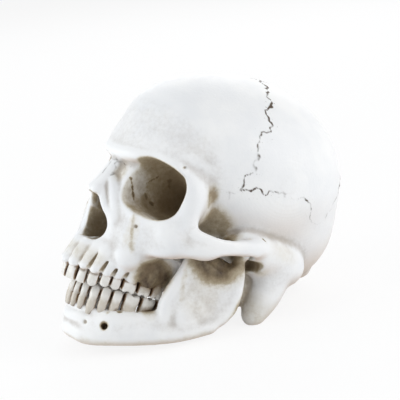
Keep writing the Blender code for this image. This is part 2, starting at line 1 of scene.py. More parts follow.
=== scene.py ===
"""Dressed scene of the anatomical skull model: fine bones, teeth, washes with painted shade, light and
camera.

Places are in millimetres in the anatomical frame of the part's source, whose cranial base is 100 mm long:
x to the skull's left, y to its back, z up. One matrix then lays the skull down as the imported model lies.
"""

import math

import bpy
import numpy as np
import openvdb
from mathutils import Matrix, Vector


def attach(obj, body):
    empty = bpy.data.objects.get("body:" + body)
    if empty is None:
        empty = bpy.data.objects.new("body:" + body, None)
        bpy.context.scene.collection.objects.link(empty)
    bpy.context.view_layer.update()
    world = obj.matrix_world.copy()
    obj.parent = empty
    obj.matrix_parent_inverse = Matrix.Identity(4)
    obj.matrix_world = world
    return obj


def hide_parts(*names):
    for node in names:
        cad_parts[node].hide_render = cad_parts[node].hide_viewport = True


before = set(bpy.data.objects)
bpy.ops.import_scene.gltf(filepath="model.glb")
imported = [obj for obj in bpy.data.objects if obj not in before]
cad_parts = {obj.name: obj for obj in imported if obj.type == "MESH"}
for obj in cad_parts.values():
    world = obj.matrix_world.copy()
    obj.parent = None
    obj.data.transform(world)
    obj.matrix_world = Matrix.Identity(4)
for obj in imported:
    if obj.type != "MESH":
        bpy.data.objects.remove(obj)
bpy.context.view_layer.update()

# The lie of the skull: its tilt face up, and the jaw hinge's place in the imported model
TILT = math.radians(30.7355)
HINGE = Vector((-0.00009, -0.00048, 0.05064))
CONDYLE = ((52, -19, -5), (9.5, 4.5, 5))
MM = 0.001
PLACED = (Matrix.Translation(HINGE) @ Matrix.Rotation(-TILT, 4, "X")
          @ Matrix.Translation(Vector((0, -CONDYLE[0][1], -CONDYLE[0][2])) * MM) @ Matrix.Scale(MM, 4))

# Grid that the bones' forms are worked out on, in millimetres
GRAIN = 0.8
GRID_LOW = np.array([-73.6, -116.0, -98.4])
GRID_COUNT = (185, 264, 264)
FAR = 8.0
FAR_AWAY = 1e3
# How far around a form its distances are worked out
AROUND = 6
TINY = 1e-6
PATH_PARTS = 4
ARCH_STEPS = 400
AXES = [GRID_LOW[k] + GRAIN * np.arange(GRID_COUNT[k]) for k in range(3)]

# Braincase: its outside is three balls, softened as one
VAULT = (
    ((0, -34, 46), (54, 65, 54)),
    ((0, -10, 45), (67, 76, 61.5)),
    ((0, 27, 22), (55, 43, 48)),
)
VAULT_SOFTNESS = 9.4
VAULT_WALL = 4.5
BONE_SOFTNESS = 1.9
JAW_SOFTNESS = 1.4
# How softly the forms run into one another
JOIN = 1.5

# Swellings of the head: centre and radii. What lies beside the midline stands on both sides
MASSES = (
    ((0, -76, 38), (33, 20, 16)),
    ((0, -50, 40), (45, 46, 30)),
    ((46, -66, -8.5), (11, 11, 14)),
    ((41, -72, -8), (12, 9, 11)),
    ((22, -74, -16), (19, 17, 19)),
    ((27, -80, -12), (12, 8, 12)),
    ((12, -86, -31), (13, 12.5, 11)),
    ((25, -80, -28), (11, 11, 12)),
    ((13, -86, -2), (8, 9, 16)),
    ((0, -76, 12), (13, 19, 18)),
    ((0, -40, 0), (15, 18, 13)),
    ((48, 12, -4), (13, 22, 16)),
    ((55, -3.5, -5.5), (8, 8, 8.5)),
    ((38, -18, -4), (7, 9, 7)),
    ((0, 50, -2), (30, 16, 12)),
    ((13, 8, -20), (7, 11, 8)),
    ((0, -66, -31), (25, 27, 4)),
    ((26, -54, -36), (7, 9, 12)),
    ((39, -1, -24), (5.5, 8, 14)),
    ((9.5, -89.5, 15), (6, 6.5, 12)),
    ((54, -13, 3), (8, 15, 7.5)),
    ((56, 2, 0), (8, 12, 9)),
)
# Flat swellings on edge: centre, reach along, through and up, and how far they turn from the x axis
SLABS = (
    ((40, -75, -10), (22, 6, 15), 36),
    ((22, -84.5, -20), (17, 7, 15), 30),
    ((51.5, -64, 11), (8, 4.5, 21), 72),
    ((58, -53, -9), (13, 3.6, 9), 62),
)
# Bars of the head: places with radii along each
BARS = (
    (((0, -94, 32), 6.5), ((14, -93.5, 33), 6), ((27, -86.5, 34.5), 5), ((40, -77, 32), 5),
     ((49.5, -69, 25), 5)),
    (((49.5, -69, 25), 5), ((52, -65.5, 12), 5.6), ((51, -66, 0), 6)),
    (((0, -90, 41), 8), ((14, -88.5, 42), 8), ((27, -82, 42), 7.5), ((38, -72, 40), 6.5), ((46, -61, 37), 4),
     ((48, -50, 37), 2)),
    (((49, -68, -1), 5), ((38, -79, -4), 4.5), ((28, -87, -4), 4.5), ((18, -90, 2), 4.5),
     ((14.5, -89.5, 12), 4.3)),
    (((14.5, -89, 12), 4.3), ((12, -87.5, 24), 5)),
    (((9, -95, 8), 4.2), ((14.5, -92, -6), 4.5)),
    (((4.2, -101.5, 4), 3.2), ((8.2, -98, -4.5), 3.4), ((12.5, -94, -9.5), 4), ((15.8, -91, -15), 4.6),
     ((16.8, -89.5, -21), 5)),
    (((2, -96, 22), 4), ((2.5, -100, 12), 4), ((2.5, -105.3, 3), 3.6)),
    (((0, -90, -28), 4), ((0, -98, -29), 2)),
    (((49.5, -63.5, -14.5), 6.5), ((58, -56, -12.5), 4.3), ((63, -46, -9.5), 3.3), ((64.2, -34, -5.6), 3.1),
     ((63.2, -21, -2.8), 3.4), ((59.5, -9, -1), 5)),
    (((52, -63, -3), 6), ((59, -56, -3), 4), ((63, -46, -2.5), 3.3), ((64.2, -34, -0.5), 3.1),
     ((63.2, -21, 2.5), 3.3), ((58, -7, 4), 5)),
    (((53, -61, -9), 6), ((60, -52, -8), 4.6), ((63.3, -42, -6), 3.3), ((64.3, -33, -3), 3.1),
     ((63.2, -21, 0.3), 3.3), ((60, -8, 2.5), 5)),
    (((60, -27, -1), 4.5), ((47, -27, -1), 5)),
    (((12, -41, -12), 4), ((14, -36, -34), 3.2)),
    (((29, -53, -28), 5.5), ((22, -41, -29), 6)),
    (((47.5, 13, -8), 13), ((47.5, 12.5, -26), 11), ((46, 10.5, -40.2), 8)),
    (((36, 2, -20), 6.5), ((35, -2, -36), 6), ((34, -4, -45), 5)),
    (((0, -30, -6), 9), ((0, -4, -16), 8)),
    (((46, -4, -6), 10), ((16, -20, -4), 7)),
    (((30, -61, 15), 21.5), ((14, -44, 12), 12)),
)
# The sharp margin of the nose's opening, laid on after the softening
NOSE_MARGIN = (
    (((6.5, -97.5, 12), 3), ((9.5, -95.5, 5), 3.4), ((12.5, -93, -3), 3.8), ((15, -91, -10), 4)),
    (((4, -101.5, 4), 1.8), ((8, -98, -4.5), 2.2), ((12.3, -94, -9.5), 2.6), ((15.4, -91, -15), 3.4),
     ((16.2, -89.5, -21), 4)),
)
# Half ovals of the teeth: heights and thickness at the front, and how much they grow towards the back
UPPER_ARCH = {"half": 29, "deep": 55, "front": -102.5, "rim": -43.0, "rim_rise": 0.05,
              "bite": -53.0, "bite_rise": 0.07, "thick": 4.6, "thick_rise": 0.037, "lean": 0.35}
LOWER_ARCH = {"half": 27.2, "deep": 53, "front": -93.5, "rim": -64.5, "rim_rise": 0.06,
              "bite": -53.5, "bite_rise": 0.07, "thick": 4.0, "thick_rise": 0.045, "lean": 0.3}
RIM_LIFTS = (5.0, 11.5)
UPPER_RECESS = 0.6
LOWER_RECESS = 1.7
OVERBITE = 1.9
TOOTH_GAP = 0.3
# Ridges over the upper roots: their lengths, and share of the length, share of the radius and how proud
ROOT_RIDGES = {"central_incisor": 14, "lateral_incisor": 14, "canine": 19, "first_premolar": 15,
               "second_premolar": 13, "first_molar": 10, "second_molar": 8}
RIDGE_SHAPE = ((-0.05, 0.92, 0.7), (0.35, 0.9, 0.7), (0.7, 0.7, 0.42), (1.0, 0.45, -0.6))
RIDGE_RADIUS = 4.4
RIDGE_JOIN = 3.2
# Slots between the roots: length, radius and depth; then share of the length, of the radius and of the rise
UPPER_SLOTS = {"central_incisor": (8, 0.8, 0.5), "lateral_incisor": (11, 1.0, 1.0), "canine": (13, 1.0, 1.0),
               "first_premolar": (13, 1.25, 1.2), "second_premolar": (11, 1.0, 0.9),
               "first_molar": (6, 0.8, 0.4)}
LOWER_SLOTS = {"central_incisor": (3, 0.9, 0.8), "lateral_incisor": (3, 1.0, 0.9), "canine": (3, 1.0, 0.9),
               "first_premolar": (3.5, 1.1, 1.0), "second_premolar": (3.5, 1.2, 1.0),
               "first_molar": (3, 1.1, 1.0), "second_molar": (3, 1.0, 0.9)}
SLOT_SHAPE = ((-0.12, 0.9, 0), (0.25, 1.0, 0), (0.6, 0.7, 0.4), (1.0, 0.2, 1.2))
SLOT_JOIN = 0.9

JAW_BARS = (
    (((0, -81, -83.8), 8), ((11, -79, -83.4), 8), ((24, -69, -78.5), 7.5), ((33, -55, -72.5), 7.5),
     ((41, -37, -65), 6.5), ((46, -19.5, -55), 5.8)),
    (((0, -83.5, -76), 6.5), ((12, -81, -75), 6.5), ((23, -73, -71), 7), ((30, -60, -67), 7),
     ((37, -46, -60), 6.5), ((45, -24, -47), 5)),
    (((46, -18, -52), 5.2), ((49, -12, -40), 5), ((51, -13, -26), 4.5), ((52, -18, -10), 4)),
    (((38, -49, -60), 5.5), ((42, -47, -44), 4.8), ((45, -44.5, -26), 3.8), ((47, -44, -10), 2.8)),
    (((0, -85.5, -84.5), 6), ((9, -83.5, -86), 5)),
    (((0, -82.8, -80), 7), ((12, -80.5, -79.4), 7), ((24, -70.5, -75), 7.2), ((33, -57, -70), 7),
     ((40, -40, -63), 6)),
)
RAMUS = (
    ((45, -32, -46), (5, 16, 20)),
    ((48, -30, -25), (4, 14, 14)),
)
# The ramus from the side: front border, coronoid tip, notch, neck, back border and angle
RAMUS_PLATE = ((-50, -64), (-56, -52), (-56, -40), (-53.5, -28), (-52.5, -12), (-48, -8), (-41, -16),
               (-29, -20), (-21, -12), (-14, -14), (-9, -30), (-7.5, -42), (-11, -52), (-26, -62), (-42, -69))
RAMUS_MIDDLE = 37.6
RAMUS_SLOPE = (0.2, 0.2)
RAMUS_THICK = 4.2
RAMUS_ROUNDING = 2.5
RAMUS_JOIN = 2.0

# Holes and dents: place on the surface, heading into the bone, radius, depth, share of the wash
HEAD_PITS = (
    ((33, -87.5, -10), (0.3, 1, 0.1), 1.0, 2.0, 0.6),
    ((25.5, -93, 31), (0, 1, 0.4), 0.8, 1.0, 0.5),
    ((44.5, -75, 34), (-1, 1, 0), 0.7, 0.8, 0.5),
    ((53, -65, -6), (-1, 0.6, 0), 0.7, 0.8, 0.4),
    ((61, -11, 10), (-1, 0, 0), 0.7, 0.8, 0.6),
    ((50, -20, 8), (-1, 0, 0), 0.8, 1.0, 0.6),
)
JAW_PITS = (
    ((24.7, -79.7, -75.5), (-0.9, 1, -0.3), 2.0, 5.5, 1.0),
    ((14.4, -87.8, -77.5), (-0.3, 1, 0), 1.7, 0.1, 0.35),
)

# How far from a carved face its wash reaches, and how strong it is
WASH_DEPTH = 1.5
HOLLOW_WASH = 0.54
# How far outside the skin the space around a place is measured
PROBE = 0.6
# Where the brown wash has settled, and where painted shade darkens hollows and gaps: centre, reach, how
# strong, and whether only hollows took it
WASH_AND_SHADE_SPOTS = (
    ((44, -42, 5), (16, 19, 19), 0.56, True),
    ((50, -53, 22), (6, 6, 11), 0.50, True),
    # Painted shadow below the cheek arch, between it and the ramus
    ((52, -34, -12), (12, 28, 22), 0.80, False),
    # Painted shade, partly wash, in the hollow behind the back teeth: this row and the next
    ((34, -63, -36), (12, 17, 15), 0.84, False),
    ((38, -58, -42), (8, 7, 20), 0.92, True),
    ((30, -54, -62), (10, 9, 9), 0.75, False),
    ((44, -14, -16), (14, 11, 14), 0.74, True),
    # Painted shade in the gap between the ramus and the mastoid
    ((41, -2, -28), (9, 10, 19), 0.42, False),
    ((32, -88, -15), (6, 7, 13), 0.26, False),
    ((9, -95, 19), (5, 8, 9), 0.34, False),
    ((26, -92, 33), (9, 7, 4), 0.34, True),
    # Painted shade darkening the side of the ramus
    ((48, -34, -34), (10, 18, 26), 0.20, False),
    ((52, -8, -40), (8, 4.5, 22), 0.46, False),
    ((0, -89, -8), (13, 10, 15), 0.80, False),
    ((0, -87, -11), (14, 16, 19), 0.80, True),
    ((58, -6, -10), (9, 9, 8), 0.66, True),
    ((54, 2, 2), (12, 24, 9), 0.24, False),
    ((46, 12, -36), (16, 22, 18), 0.27, False),
    ((0, -99, -37), (34, 14, 8), 0.26, False),
    ((22.5, -77.5, -76.2), (4.2, 4.2, 4.2), 1.3, False),
    ((0, -60, -36), (22, 26, 10), 0.60, False),
    ((0, -40, -20), (24, 26, 14), 0.50, False),
    ((0, -60, -68), (22, 30, 14), 0.40, True),
    ((0, 20, -22), (18, 20, 16), 0.45, True),
)
# Where the wash was wiped off: centre, reach, share that is gone
WIPED = (
    ((17, -86, 12), (7, 9, 14), 0.45),
    ((34, -80, -1), (14, 8, 5), 0.25),
)
# Washed scratches, seams and fissures, and a painted shade along the jaw's lower border: the path, its width
# and how strong
SCRATCHES_AND_SHADE_LINES = (
    (((60, -12, 9), (62.5, -9, 5), (63, -8.5, 0)), 0.5, 0.9),
    (((50, -52, -24), (48, -50, -32), (46, -46, -44)), 2.2, 0.34),
    (((58, -40, 20), (60, -30, 12), (61, -22, 6)), 1.6, 0.26),
    (((49, -9, -22), (48, -7, -44), (46, -11, -55)), 0.8, 0.75),
    (((30, -90, -4), (32, -89, -12), (35, -86, -24)), 2.6, 0.50),
    # Painted shade along the jaw's lower border
    (((0, -86, -89), (13, -83, -88.5), (26.5, -71, -83.5), (36, -56, -77.5), (44, -38, -69), (49, -20, -58)),
     3.4, 0.30),
    (((52, -50, -18), (50, -50, -34)), 0.7, 0.55),
    (((52, -22, -22), (50, -16, -32)), 1.0, 0.6),
    (((50, 30, 14), (44, 36, 6), (38, 44, 2)), 1.0, 0.35),
    (((15.8, -91.4, 17), (15.3, -88.8, 13), (15.3, -86.4, 9), (17.2, -85, 4.5)), 0.9, 0.85),
    (((14.8, -78.6, 17.4), (15.2, -76, 20.2), (15.9, -73, 23.3)), 1.5, 0.88),
    (((14.5, -77, 11), (15, -75, 8)), 1.4, 0.8),
    (((15.2, -71.9, 6), (15.6, -69, 6.5)), 1.8, 0.9),
    (((15.8, -64, 24), (15, -60, 17)), 2.4, 0.85),
)

# Eye socket: centre, half width and half height at five depths
ORBIT = (
    ((40, -112, 13), 22, 19.5),
    ((34, -82, 15.5), 19, 17.2),
    ((31, -67, 15), 17, 16.5),
    ((23, -56, 13), 10.5, 11),
    ((15, -46, 12), 4, 4.5),
)
ORBIT_ROLL = math.radians(10.0)
ORBIT_SQUARENESS = 2.8
ORBIT_ROOM = ((0, -116, -14), (66, -42, 44))
ORBIT_EDGE = 1.4
NASAL = (
    ((5.4, -90, -17.5), (7.2, 32, 9.5)),
    ((0, -94, -8), (5.8, 30, 10)),
)
# Where the face is smoothed once more, and by how much: centre and reach
SOFT_PLACES = (
    ((0, -84, 47), (58, 30, 17)),
    ((0, -84, -10), (50, 22, 20)),
    ((47, -66, 14), (14, 15, 28)),
    ((57, 2, -8), (13, 17, 20)),
)
FACE_SOFTNESS = 3.6
MAGNUM = ((0, 20, -18), (14, 17, 22))
EAR = ((72, -8.5, -11.5), (46, -8, -10), 3.8)
FOSSA_GAP = 2.2
# The skull's base counts as open in front of this place
BASE_FRONT = -62


def sides_of(points):
    """Both sides for what lies beside the midline, one for what lies on it."""
    return (1,) if all(place[0] == 0 for place in points) else (1, -1)


def mirrored(point, side):
    """A place of the left side, or its mirror image."""
    return np.array([point[0] * side, point[1], point[2]], float)


def smooth_path(points):
    """Rows of x, y, z, radius on a smooth curve through the points."""
    rows = np.array([[*point, radius] for point, radius in points], float)
    if len(rows) < 3:
        return rows
    padded = np.concatenate([[2 * rows[0] - rows[1]], rows, [2 * rows[-1] - rows[-2]]])
    made = []
    for k in range(len(rows) - 1):
        a, b, c, d = padded[k:k + 4]
        for share in np.arange(PATH_PARTS) / PATH_PARTS:
            made.append(0.5 * (2 * b + (c - a) * share + (2 * a - 5 * b + 4 * c - d) * share ** 2
                               + (3 * b - a - 3 * c + d) * share ** 3))
    made.append(rows[-1])
    return np.array(made)


def egg_distance(x, y, z, radii):
    """Distance to an ellipsoid from offsets to its centre, negative inside."""
    one = np.sqrt((x / radii[0]) ** 2 + (y / radii[1]) ** 2 + (z / radii[2]) ** 2) + TINY
    two = np.sqrt((x / radii[0] ** 2) ** 2 + (y / radii[1] ** 2) ** 2 + (z / radii[2] ** 2) ** 2) + TINY
    return one * (one - 1) / two


class Form:
    """A solid as a field of distances on the grid, negative inside."""

    def __init__(self):
        self.field = np.full(GRID_COUNT, FAR, np.float32)
        self.hollow = np.full(GRID_COUNT, FAR, np.float32)

    def window(self, low, high):
        a = np.maximum(np.floor((np.asarray(low) - GRID_LOW) / GRAIN).astype(int), 0)
        b = np.minimum(np.ceil((np.asarray(high) - GRID_LOW) / GRAIN).astype(int) + 1, GRID_COUNT)
        if (b <= a).any():
            return None, None
        part = tuple(slice(i, j) for i, j in zip(a, b))
        axes = [(GRID_LOW[k] + GRAIN * np.arange(a[k], b[k])).astype(np.float32) for k in range(3)]
        grid = (axes[0][:, None, None], axes[1][None, :, None], axes[2][None, None, :])
        return part, grid

    def add(self, part, distance, blend):
        near = self.field[part]
        lap = np.maximum(blend - np.abs(near - distance), 0)
        self.field[part] = np.minimum(near, distance) - lap * lap / (4 * blend)

    def carve(self, part, distance, blend, stained=False):
        """Takes a form away; a stained share of its faces remembers the wash."""
        near = self.field[part]
        if stained:
            self.hollow[part] = np.minimum(self.hollow[part], distance + WASH_DEPTH * (1 - stained))
        lap = np.maximum(blend - np.abs(near + distance), 0)
        self.field[part] = np.maximum(near, -distance) + lap * lap / (4 * blend)

    def shape(self, part, distance, blend, carve, stained):
        distance = distance.astype(np.float32)
        if carve:
            self.carve(part, distance, blend, stained)
        else:
            self.add(part, distance, blend)

    def ball(self, centre, radii, blend, carve=False, turn=None, stained=False):
        """An ellipsoid that is added or carved, with a soft join."""
        centre, radii = np.asarray(centre, float), np.asarray(radii, float)
        reach = (radii if turn is None else np.full(3, radii.max())) + blend + AROUND
        part, grid = self.window(centre - reach, centre + reach)
        if part is None:
            return
        x, y, z = (grid[k] - centre[k] for k in range(3))
        if turn is not None:
            x, y, z = (row[0] * x + row[1] * y + row[2] * z for row in turn)
        self.shape(part, egg_distance(x, y, z, radii), blend, carve, stained)

    def run(self, points, blend, carve=False, stained=False):
        """One round bar along a smooth path of points with radii."""
        path = smooth_path(points)
        reach = max(row[3] for row in path) + blend + AROUND
        part, grid = self.window(path[:, :3].min(axis=0) - reach, path[:, :3].max(axis=0) + reach)
        if part is None:
            return
        nearest = np.full([s.stop - s.start for s in part], FAR_AWAY, np.float32)
        for a, b in zip(path, path[1:]):
            inner, local = self.window(np.minimum(a, b)[:3] - reach, np.maximum(a, b)[:3] + reach)
            if inner is None:
                continue
            span = (b - a)[:3]
            x, y, z = (local[k] - a[k] for k in range(3))
            share = np.clip((x * span[0] + y * span[1] + z * span[2]) / max(span @ span, 1e-9), 0, 1)
            x, y, z = (v - share * span[k] for k, v in enumerate((x, y, z)))
            away = np.sqrt(x ** 2 + y ** 2 + z ** 2) - (a[3] + share * (b[3] - a[3]))
            spot = tuple(slice(i.start - p.start, i.stop - p.start) for i, p in zip(inner, part))
            nearest[spot] = np.minimum(nearest[spot], away.astype(np.float32))
        self.shape(part, nearest, blend, carve, stained)

    def plate(self, outline, middle, slope, thick, rounding, blend):
        """A rounded plate seen from the side: its outline in y and z, its middle's x at the first point,
        and how much that x grows per millimetre of y and z."""
        corners = np.array(outline, float)
        reach = thick + blend + AROUND
        xs = [middle + (y - corners[0][0]) * slope[0] + (z - corners[0][1]) * slope[1] for y, z in corners]
        for side in (1, -1):
            box_x = [x * side for x in xs]
            low = np.array([min(box_x), *corners.min(axis=0)]) - reach
            high = np.array([max(box_x), *corners.max(axis=0)]) + reach
            part, (x, y, z) = self.window(low, high)
            across, upward = np.broadcast_arrays(y[0], z[0])
            edge = edge_distance(across.ravel(), upward.ravel(), tuple(outline)) + rounding
            edge = edge.reshape(across.shape)
            centre = middle + (across - corners[0][0]) * slope[0] + (upward - corners[0][1]) * slope[1]
            depth = np.abs(x * side - centre[None]) - (thick - rounding)
            edge = np.broadcast_to(edge[None], depth.shape)
            outside = np.hypot(np.maximum(edge, 0), np.maximum(depth, 0))
            distance = outside + np.minimum(np.maximum(edge, depth), 0) - rounding
            self.add(part, distance.astype(np.float32), blend)

    def balls(self, table, **how):
        for centre, radii in table:
            for side in sides_of([centre]):
                self.ball(mirrored(centre, side), radii, **how)

    def runs(self, table, **how):
        """Bars on both sides; a path that starts on the midline is one with its mirror image."""
        for row in table:
            points = [(mirrored(point, 1), radius) for point, radius in row]
            if row[0][0][0] == 0:
                across = [(mirrored(point, -1), radius) for point, radius in points[:0:-1]]
                self.run(across + points, **how)
            else:
                self.run(points, **how)
                self.run([(mirrored(point, -1), radius) for point, radius in points], **how)

    def stand(self):
        """Cuts the form flat where the skull rests."""
        row = np.array(PLACED)[2] / MM
        x, y, z = AXES[0][:, None, None], AXES[1][None, :, None], AXES[2][None, None, :]
        below = -(row[0] * x + row[1] * y + row[2] * z + row[3])
        self.field = np.maximum(self.field, below.astype(np.float32))

    def skin(self):
        """Points and four-sided faces of the surface."""
        grid = openvdb.FloatGrid(FAR)
        grid.copyFromArray(np.clip(self.field, -FAR, FAR), tolerance=0.0)
        points, triangles, quads = grid.convertToPolygons(isovalue=0.0, adaptivity=0.0)
        return points.astype(np.float64) * GRAIN + GRID_LOW, quads[:, ::-1].astype(np.int64)


def cell_corners(part):
    """The eight corners of a grid cell and their weights for places within it."""
    for corner in np.ndindex(2, 2, 2):
        yield np.array(corner), np.abs(1 - np.array(corner) - part).prod(axis=1)


def sampled(field, points, step=1):
    """Values of a grid at places, between its eight nearest points."""
    at = np.clip((points - GRID_LOW) / (GRAIN * step), 0, np.array(field.shape) - 1.001)
    low = at.astype(int)
    value = np.zeros(len(points))
    for corner, weight in cell_corners(at - low):
        value += weight * field[tuple((low + corner).T)]
    return value


def lattice(index, seed):
    """A fixed pseudo-random number from 0 to 1 for each whole-numbered place."""
    n = index.astype(np.int64)
    mixed = (n[:, 0] * 374761393 + n[:, 1] * 668265263 + n[:, 2] * 2147483647 + seed * 974634777) & 0xFFFFFFFF
    mixed = ((mixed ^ (mixed >> 13)) * 1274126177) & 0xFFFFFFFF
    mixed = ((mixed ^ (mixed >> 16)) * 2246822519) & 0xFFFFFFFF
    return (mixed & 0xFFFFFF) / float(0xFFFFFF)


def noise(points, scale, seed=1):
    """Soft noise from -1 to 1 with a given wavelength in millimetres."""
    at = points / scale + 1000.0
    low = np.floor(at).astype(np.int64)
    part = at - low
    part = part * part * (3 - 2 * part)
    value = np.zeros(len(points))
    for corner, weight in cell_corners(part):
        value += weight * lattice(low + corner, seed)
    return value * 2 - 1


def arch_point(arch, run):
    """Place on a dental arch at a run from its midline, and the ways along the arch and out of it."""
    step = math.pi / ARCH_STEPS
    half, deep = arch["half"], arch["deep"]
    angle, length = 0.0, 0.0
    while length < abs(run):
        angle += step
        length += math.hypot(half * math.cos(angle), deep * math.sin(angle)) * step
    angle = math.copysign(angle, run)
    point = np.array([half * math.sin(angle), arch["front"] + deep * (1 - math.cos(angle)), 0.0])
    heading = math.atan2(deep * math.sin(angle), half * math.cos(angle))
    along = np.array([math.cos(heading), math.sin(heading), 0.0])
    return point, along, np.array([along[1], -along[0], 0.0])


def rising(arch, key, point):
    """A height or thickness of an arch at a place."""
    return arch[key] + arch[key + "_rise"] * (point[1] - arch["front"])


# Teeth: width along the arch, depth across it, crown height, root length, and the kind of crown
UPPER_TEETH = (
    ("central_incisor", 8.4, 7.0, 10.5, 9.0, "blade"),
    ("lateral_incisor", 6.6, 6.2, 9.6, 9.0, "blade"),
    ("canine", 7.6, 8.0, 10.4, 10.0, "point"),
    ("first_premolar", 7.0, 8.8, 9.0, 8.5, "table"),
    ("second_premolar", 6.8, 8.8, 8.6, 8.5, "table"),
    ("first_molar", 10.0, 10.4, 8.0, 8.5, "table"),
    ("second_molar", 9.4, 10.2, 7.6, 8.0, "table"),
    ("third_molar", 8.4, 9.4, 7.2, 7.5, "table"),
)
LOWER_TEETH = (
    ("central_incisor", 5.5, 5.8, 9.0, 8.5, "blade"),
    ("lateral_incisor", 5.9, 6.0, 9.0, 8.5, "blade"),
    ("canine", 6.9, 7.4, 9.6, 9.5, "point"),
    ("first_premolar", 7.0, 7.6, 8.4, 8.5, "table"),
    ("second_premolar", 7.1, 8.0, 8.0, 8.5, "table"),
    ("first_molar", 10.8, 9.8, 7.6, 8.5, "table"),
    ("second_molar", 10.2, 9.6, 7.4, 8.0, "table"),
    ("third_molar", 9.4, 9.0, 7.0, 7.5, "table"),
)


def tooth_places(table):
    """Name, measures and run along the arch of every tooth, side by side from the middle."""
    places = []
    edge = 0.0
    for spec in table:
        places.append(("left_" + spec[0], spec, edge + spec[1] / 2))
        places.append(("right_" + spec[0], spec, -edge - spec[1] / 2))
        edge += spec[1]
    return places


def add_rim(form, table, arch, boneward, recess):
    """The thick rim that carries the teeth, set back a little beside their necks."""
    runs = sorted([0.0] + [run for name, spec, run in tooth_places(table)])
    for lift, back in zip(RIM_LIFTS, (recess, 0)):
        points = []
        for run in runs:
            point = arch_point(arch, run)[0]
            thick = rising(arch, "thick", point) - back
            point[2] = rising(arch, "rim", point) + boneward * lift
            point[1] += arch["lean"] * lift
            points.append((point, thick))
        form.run(points, blend=JOIN)


def on_rim(arch, run, boneward, lift, deep):
    """Place below the rim's outer face, lifted from its edge towards the bone."""
    foot, along, out = arch_point(arch, run)
    spot = foot + out * (rising(arch, "thick", foot) - deep)
    spot[1] += arch["lean"] * lift
    spot[2] = rising(arch, "rim", foot) + boneward * lift
    return spot


def add_root_ridges(form):
    """The ridges that the upper roots raise on the outer side of the rim; they sink into it at their ends."""
    for name, spec, run in tooth_places(UPPER_TEETH):
        length = ROOT_RIDGES.get(spec[0], 0)
        radius = min(spec[1] / 2, RIDGE_RADIUS)
        if length:
            form.run([(on_rim(UPPER_ARCH, run, 1, length * share, radius * size - proud), radius * size)
                      for share, size, proud in RIDGE_SHAPE], blend=RIDGE_JOIN)


def carve_slots(form, table, arch, boneward, slots, stained):
    """Narrow hollows between neighbouring roots, each named by the tooth that it follows."""
    edge = 0.0
    for spec in table:
        edge += spec[1]
        length, radius, deep = slots.get(spec[0], (0, 0, 0))
        for side in (1, -1) if length else ():
            form.run([(on_rim(arch, edge * side, boneward, length * share, deep * (1 - rise)), radius * size)
                      for share, size, rise in SLOT_SHAPE], blend=SLOT_JOIN, carve=True, stained=stained)


def carve_pits(form, pits):
    """Small holes and dents of the nerves and vessels."""
    for place, heading, radius, deep, share in pits:
        for side in sides_of([place]):
            start = mirrored(place, side)
            way = mirrored(heading, side)
            way /= np.linalg.norm(way)
            form.run([(start - way * 2, radius * 1.15), (start + way * deep, radius * 0.8)], blend=0.8,
                     carve=True, stained=share)


def carve_orbit(form, side):
    """The rounded square cone of an eye socket."""
    ys = np.array([centre[1] for centre, w, h in ORBIT], float)
    room = [mirrored(corner, side) for corner in ORBIT_ROOM]
    part, (x, y, z) = form.window(np.minimum(*room), np.maximum(*room))
    row = y.ravel()
    cx = np.interp(row, ys, [centre[0] * side for centre, w, h in ORBIT])[None, :, None]
    cz = np.interp(row, ys, [centre[2] for centre, w, h in ORBIT])[None, :, None]
    half_w = np.interp(row, ys, [w for centre, w, h in ORBIT])[None, :, None]
    half_h = np.interp(row, ys, [h for centre, w, h in ORBIT])[None, :, None]
    c, s = math.cos(ORBIT_ROLL), math.sin(ORBIT_ROLL) * -side
    across = (x - cx) * c + (z - cz) * s
    upward = -(x - cx) * s + (z - cz) * c
    power = ORBIT_SQUARENESS
    reach = (np.abs(across / half_w) ** power + np.abs(upward / half_h) ** power) ** (1 / power)
    distance = np.maximum((reach - 1) * np.minimum(half_w, half_h), y - ys[-1])
    form.carve(part, distance.astype(np.float32), ORBIT_EDGE, stained=True)


def vault_field():
    """The braincase's outside: three balls, softened as one, worked out on a coarse grid and refined."""
    margin, step = 12, 2 * GRAIN
    count = [n // 2 + 2 + 2 * margin for n in GRID_COUNT]
    axes = [GRID_LOW[k] + step * (np.arange(count[k]) - margin) for k in range(3)]
    x, y, z = axes[0][:, None, None], axes[1][None, :, None], axes[2][None, None, :]
    field = np.full(count, FAR_AWAY)
    for (cx, cy, cz), radii in VAULT:
        field = np.minimum(field, egg_distance(x - cx, y - cy, z - cz, radii))
    field = box_blur(field.astype(np.float32), reach_for(VAULT_SOFTNESS / step))
    field = field[margin:-margin, margin:-margin, margin:-margin]
    for axis in range(3):
        field = np.moveaxis(field, axis, 0)
        finer = np.empty((2 * len(field) - 1,) + field.shape[1:], np.float32)
        finer[::2] = field
        finer[1::2] = (field[1:] + field[:-1]) / 2
        field = np.moveaxis(finer[:GRID_COUNT[axis]], 0, axis)
    return np.ascontiguousarray(field)


